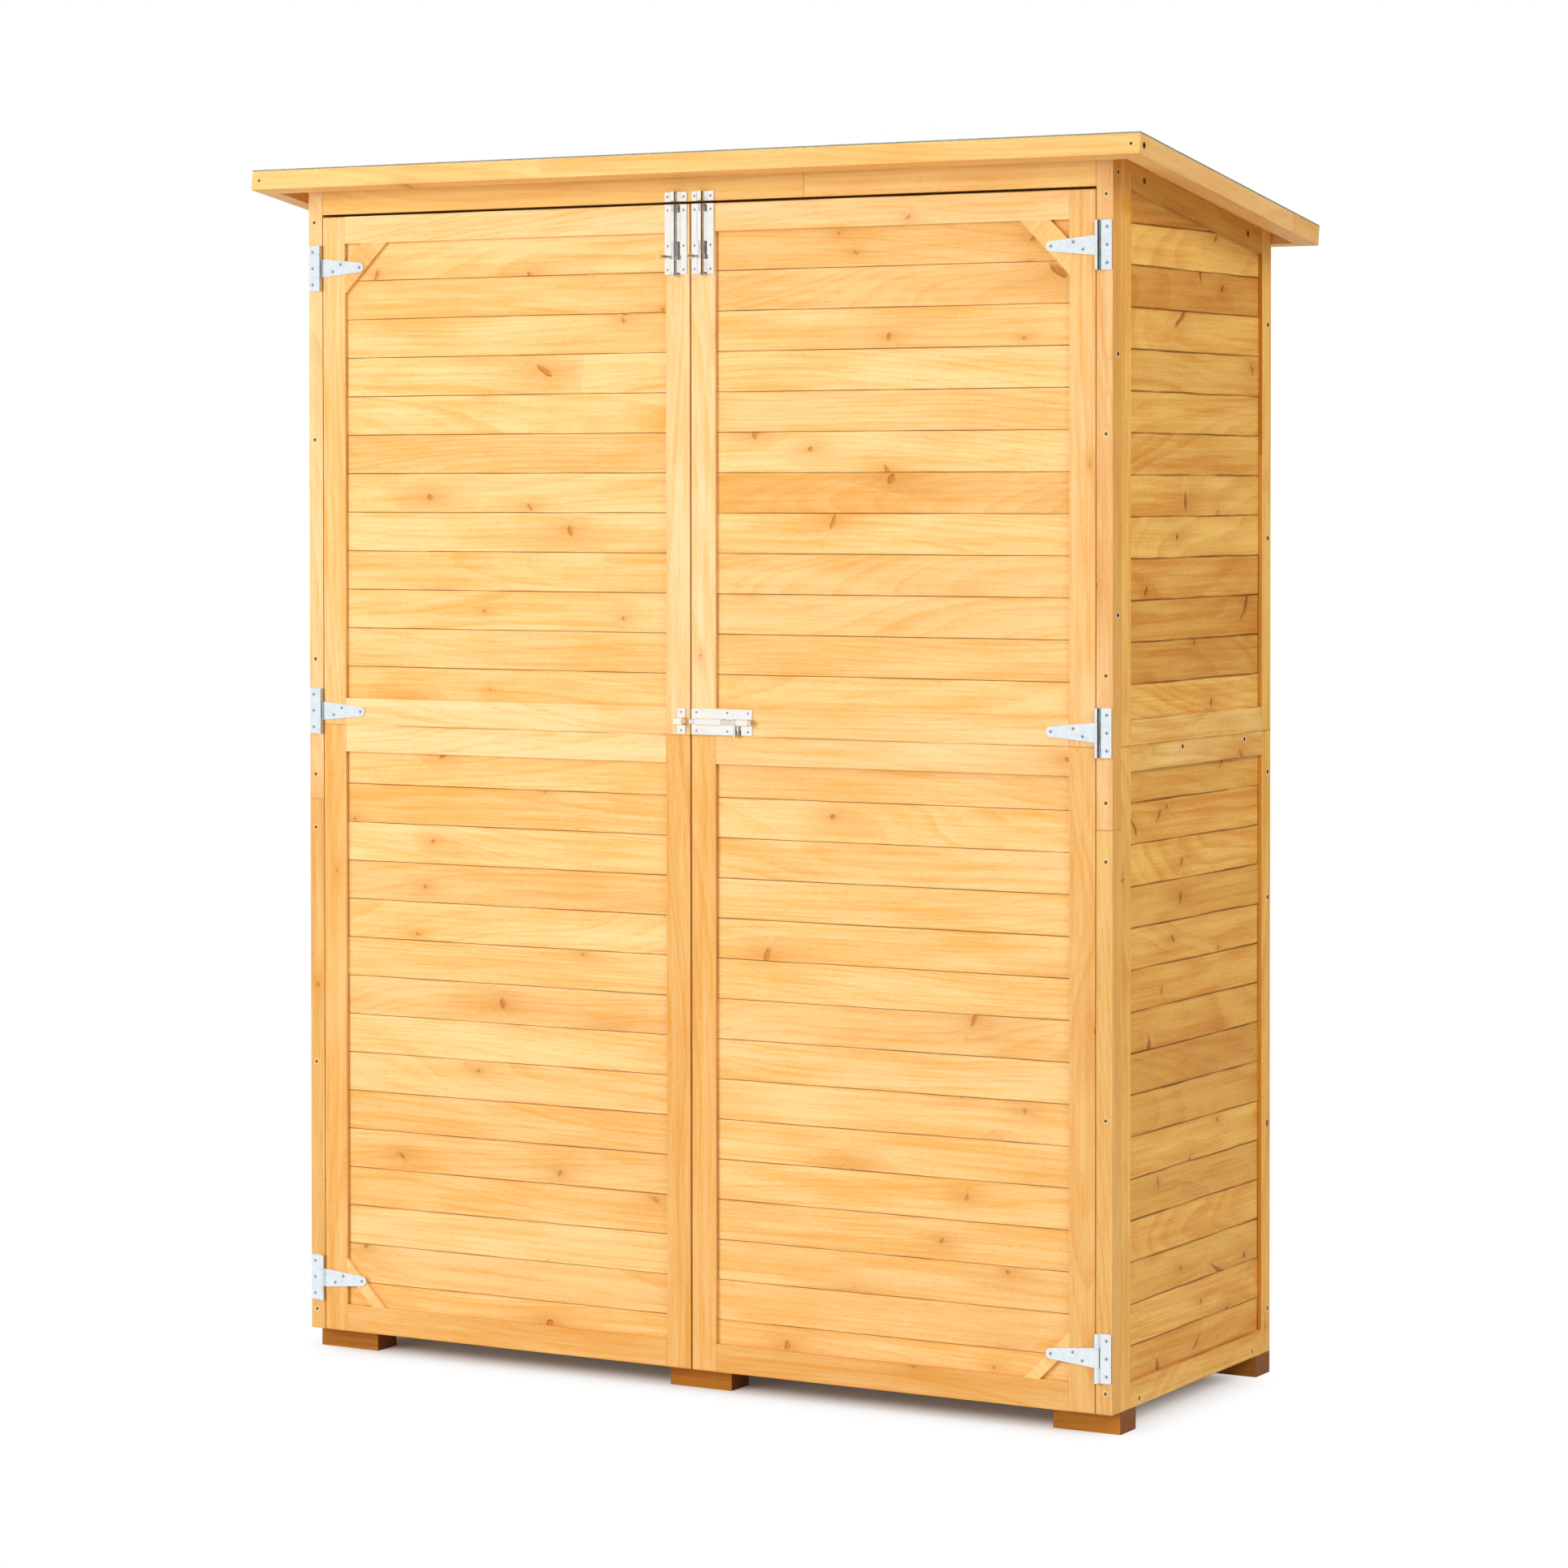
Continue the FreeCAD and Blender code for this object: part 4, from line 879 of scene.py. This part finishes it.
paper = bpy.data.materials.new("white_paper")
paper.use_nodes = True
tree = paper.node_tree
tree.nodes.remove(tree.nodes["Principled BSDF"])
pen = Pen(tree)
plain = pen.add("BsdfDiffuse", {"Color": colour((0.80, 0.80, 0.80))})
bright = pen.add("BsdfDiffuse", {"Color": colour((0.86, 0.85, 0.82))})
lift = pen.add("Emission", {"Color": colour(WHITE), "Strength": 0.04})
white = pen.add("Emission", {"Color": colour(WHITE), "Strength": 1.0})
place = pen.split(pen.add("TexCoord", out="Object"))
beside = pen.math("MAXIMUM", pen.less(pen.math("ABSOLUTE", place[X]), SHADOW_X), 0.0)
before = pen.math("MAXIMUM", pen.less(pen.math("ABSOLUTE", place[Y]), SHADOW_Y), 0.0)
away = pen.rise(pen.length(beside, before), 0.0, SHADOW_FADE)
seen = pen.add("MixShader", (away, pen.add("AddShader", (bright, lift)), white))
surface = pen.add("MixShader", (seen_directly(pen), plain, seen))
pen.feed(tree.nodes["Material Output"].inputs["Surface"], surface)
mesh = bpy.data.meshes.new("floor")
corners = [(x * SHEET, y * SHEET, ground) for x, y in ((-1, -1), (1, -1), (1, 1), (-1, 1))]
mesh.from_pydata(corners, [], [(0, 1, 2, 3)])
mesh.materials.append(paper)
scene = bpy.context.scene
floor = bpy.data.objects.new("floor", mesh)
scene.collection.objects.link(floor)

scene.world = bpy.data.worlds.new("surround")
scene.world.use_nodes = True
pen = Pen(scene.world.node_tree)
surround = pen.tree.nodes["Background"].inputs
pen.feed(surround["Color"], colour(WHITE))
pen.feed(surround["Strength"], pen.line(seen_directly(pen), 0.50, 0.50))


def facing(place, aim):
    """The turn of a lamp at one place that looks at another: tilt, none, and bearing."""
    way = np.array(aim, float) - np.array(place, float)
    return math.pi / 2 + math.atan2(way[2], math.hypot(way[0], way[1])), 0, math.atan2(-way[0], way[1])


MID_CABINET = (0.0, 0.0, 0.75)
for name, place, size, power, tint in (("key", (-2.6, -4.6, 2.1), (3.0, 3.4), 185, WHITE),
                                       ("fill", (4.1, -2.0, 3.9), (2.0, 2.2), 102, (1.0, 0.92, 0.84))):
    lamp = bpy.data.lights.new(name, "AREA")
    lamp.shape = "RECTANGLE"
    lamp.size, lamp.size_y = size
    lamp.energy = power
    lamp.color = tint
    stand = bpy.data.objects.new(name, lamp)
    stand.location = place
    stand.rotation_euler = facing(place, MID_CABINET)
    stand.visible_glossy = False
    scene.collection.objects.link(stand)

CURTAIN_ROUND = 3.4  # its distance from the middle of the cabinet
CURTAIN_HIGH = 2.8
FOLDS = 20
black, _, shader = new_finish("black_cloth")
shader["Base Color"].default_value = colour((0.02, 0.02, 0.02))
bearing = np.radians(np.linspace(38.0, 158.0, FOLDS + 1))
hem = np.stack([CURTAIN_ROUND * np.sin(bearing), -CURTAIN_ROUND * np.cos(bearing),
                np.full(FOLDS + 1, ground)], 1)
points = np.concatenate([hem, hem + (0.0, 0.0, CURTAIN_HIGH)])
near = np.arange(FOLDS)
far = near + FOLDS + 1
mesh = bpy.data.meshes.new("curtain")
mesh.from_pydata(points.tolist(), [], np.stack([near, near + 1, far + 1, far], 1).tolist())
mesh.materials.append(black)
curtain = bpy.data.objects.new("curtain", mesh)
scene.collection.objects.link(curtain)
curtain.visible_camera = False
curtain.visible_diffuse = False
curtain.visible_shadow = False

# Camera. It stands halfway up between the middle and the top hinges, well back and to the right of the
# doors. It tilts down a degree and is shifted for the rest, so that uprights stay nearly upright.
PICTURE = 1932  # pixels across and down
FOCAL = 5541.0  # in those pixels
HORIZON_ROW = 603.9
FILM_SHIFT = -0.13
CAMERA_PLACE = (2.965, -5.2012, 1.1636)
CAMERA_ROLL = 0.0008
CAMERA_BEARING = math.radians(29.61)
lens = bpy.data.cameras.new("camera")
lens.sensor_width = 36
lens.lens = FOCAL / PICTURE * lens.sensor_width
lens.shift_y = FILM_SHIFT
camera = bpy.data.objects.new("camera", lens)
camera.location = CAMERA_PLACE
tilt = math.atan((PICTURE / 2 + FILM_SHIFT * PICTURE - HORIZON_ROW) / FOCAL)
camera.rotation_euler = (math.pi / 2 - tilt, CAMERA_ROLL, CAMERA_BEARING)
scene.collection.objects.link(camera)
scene.camera = camera
scene.view_settings.view_transform = "Standard"
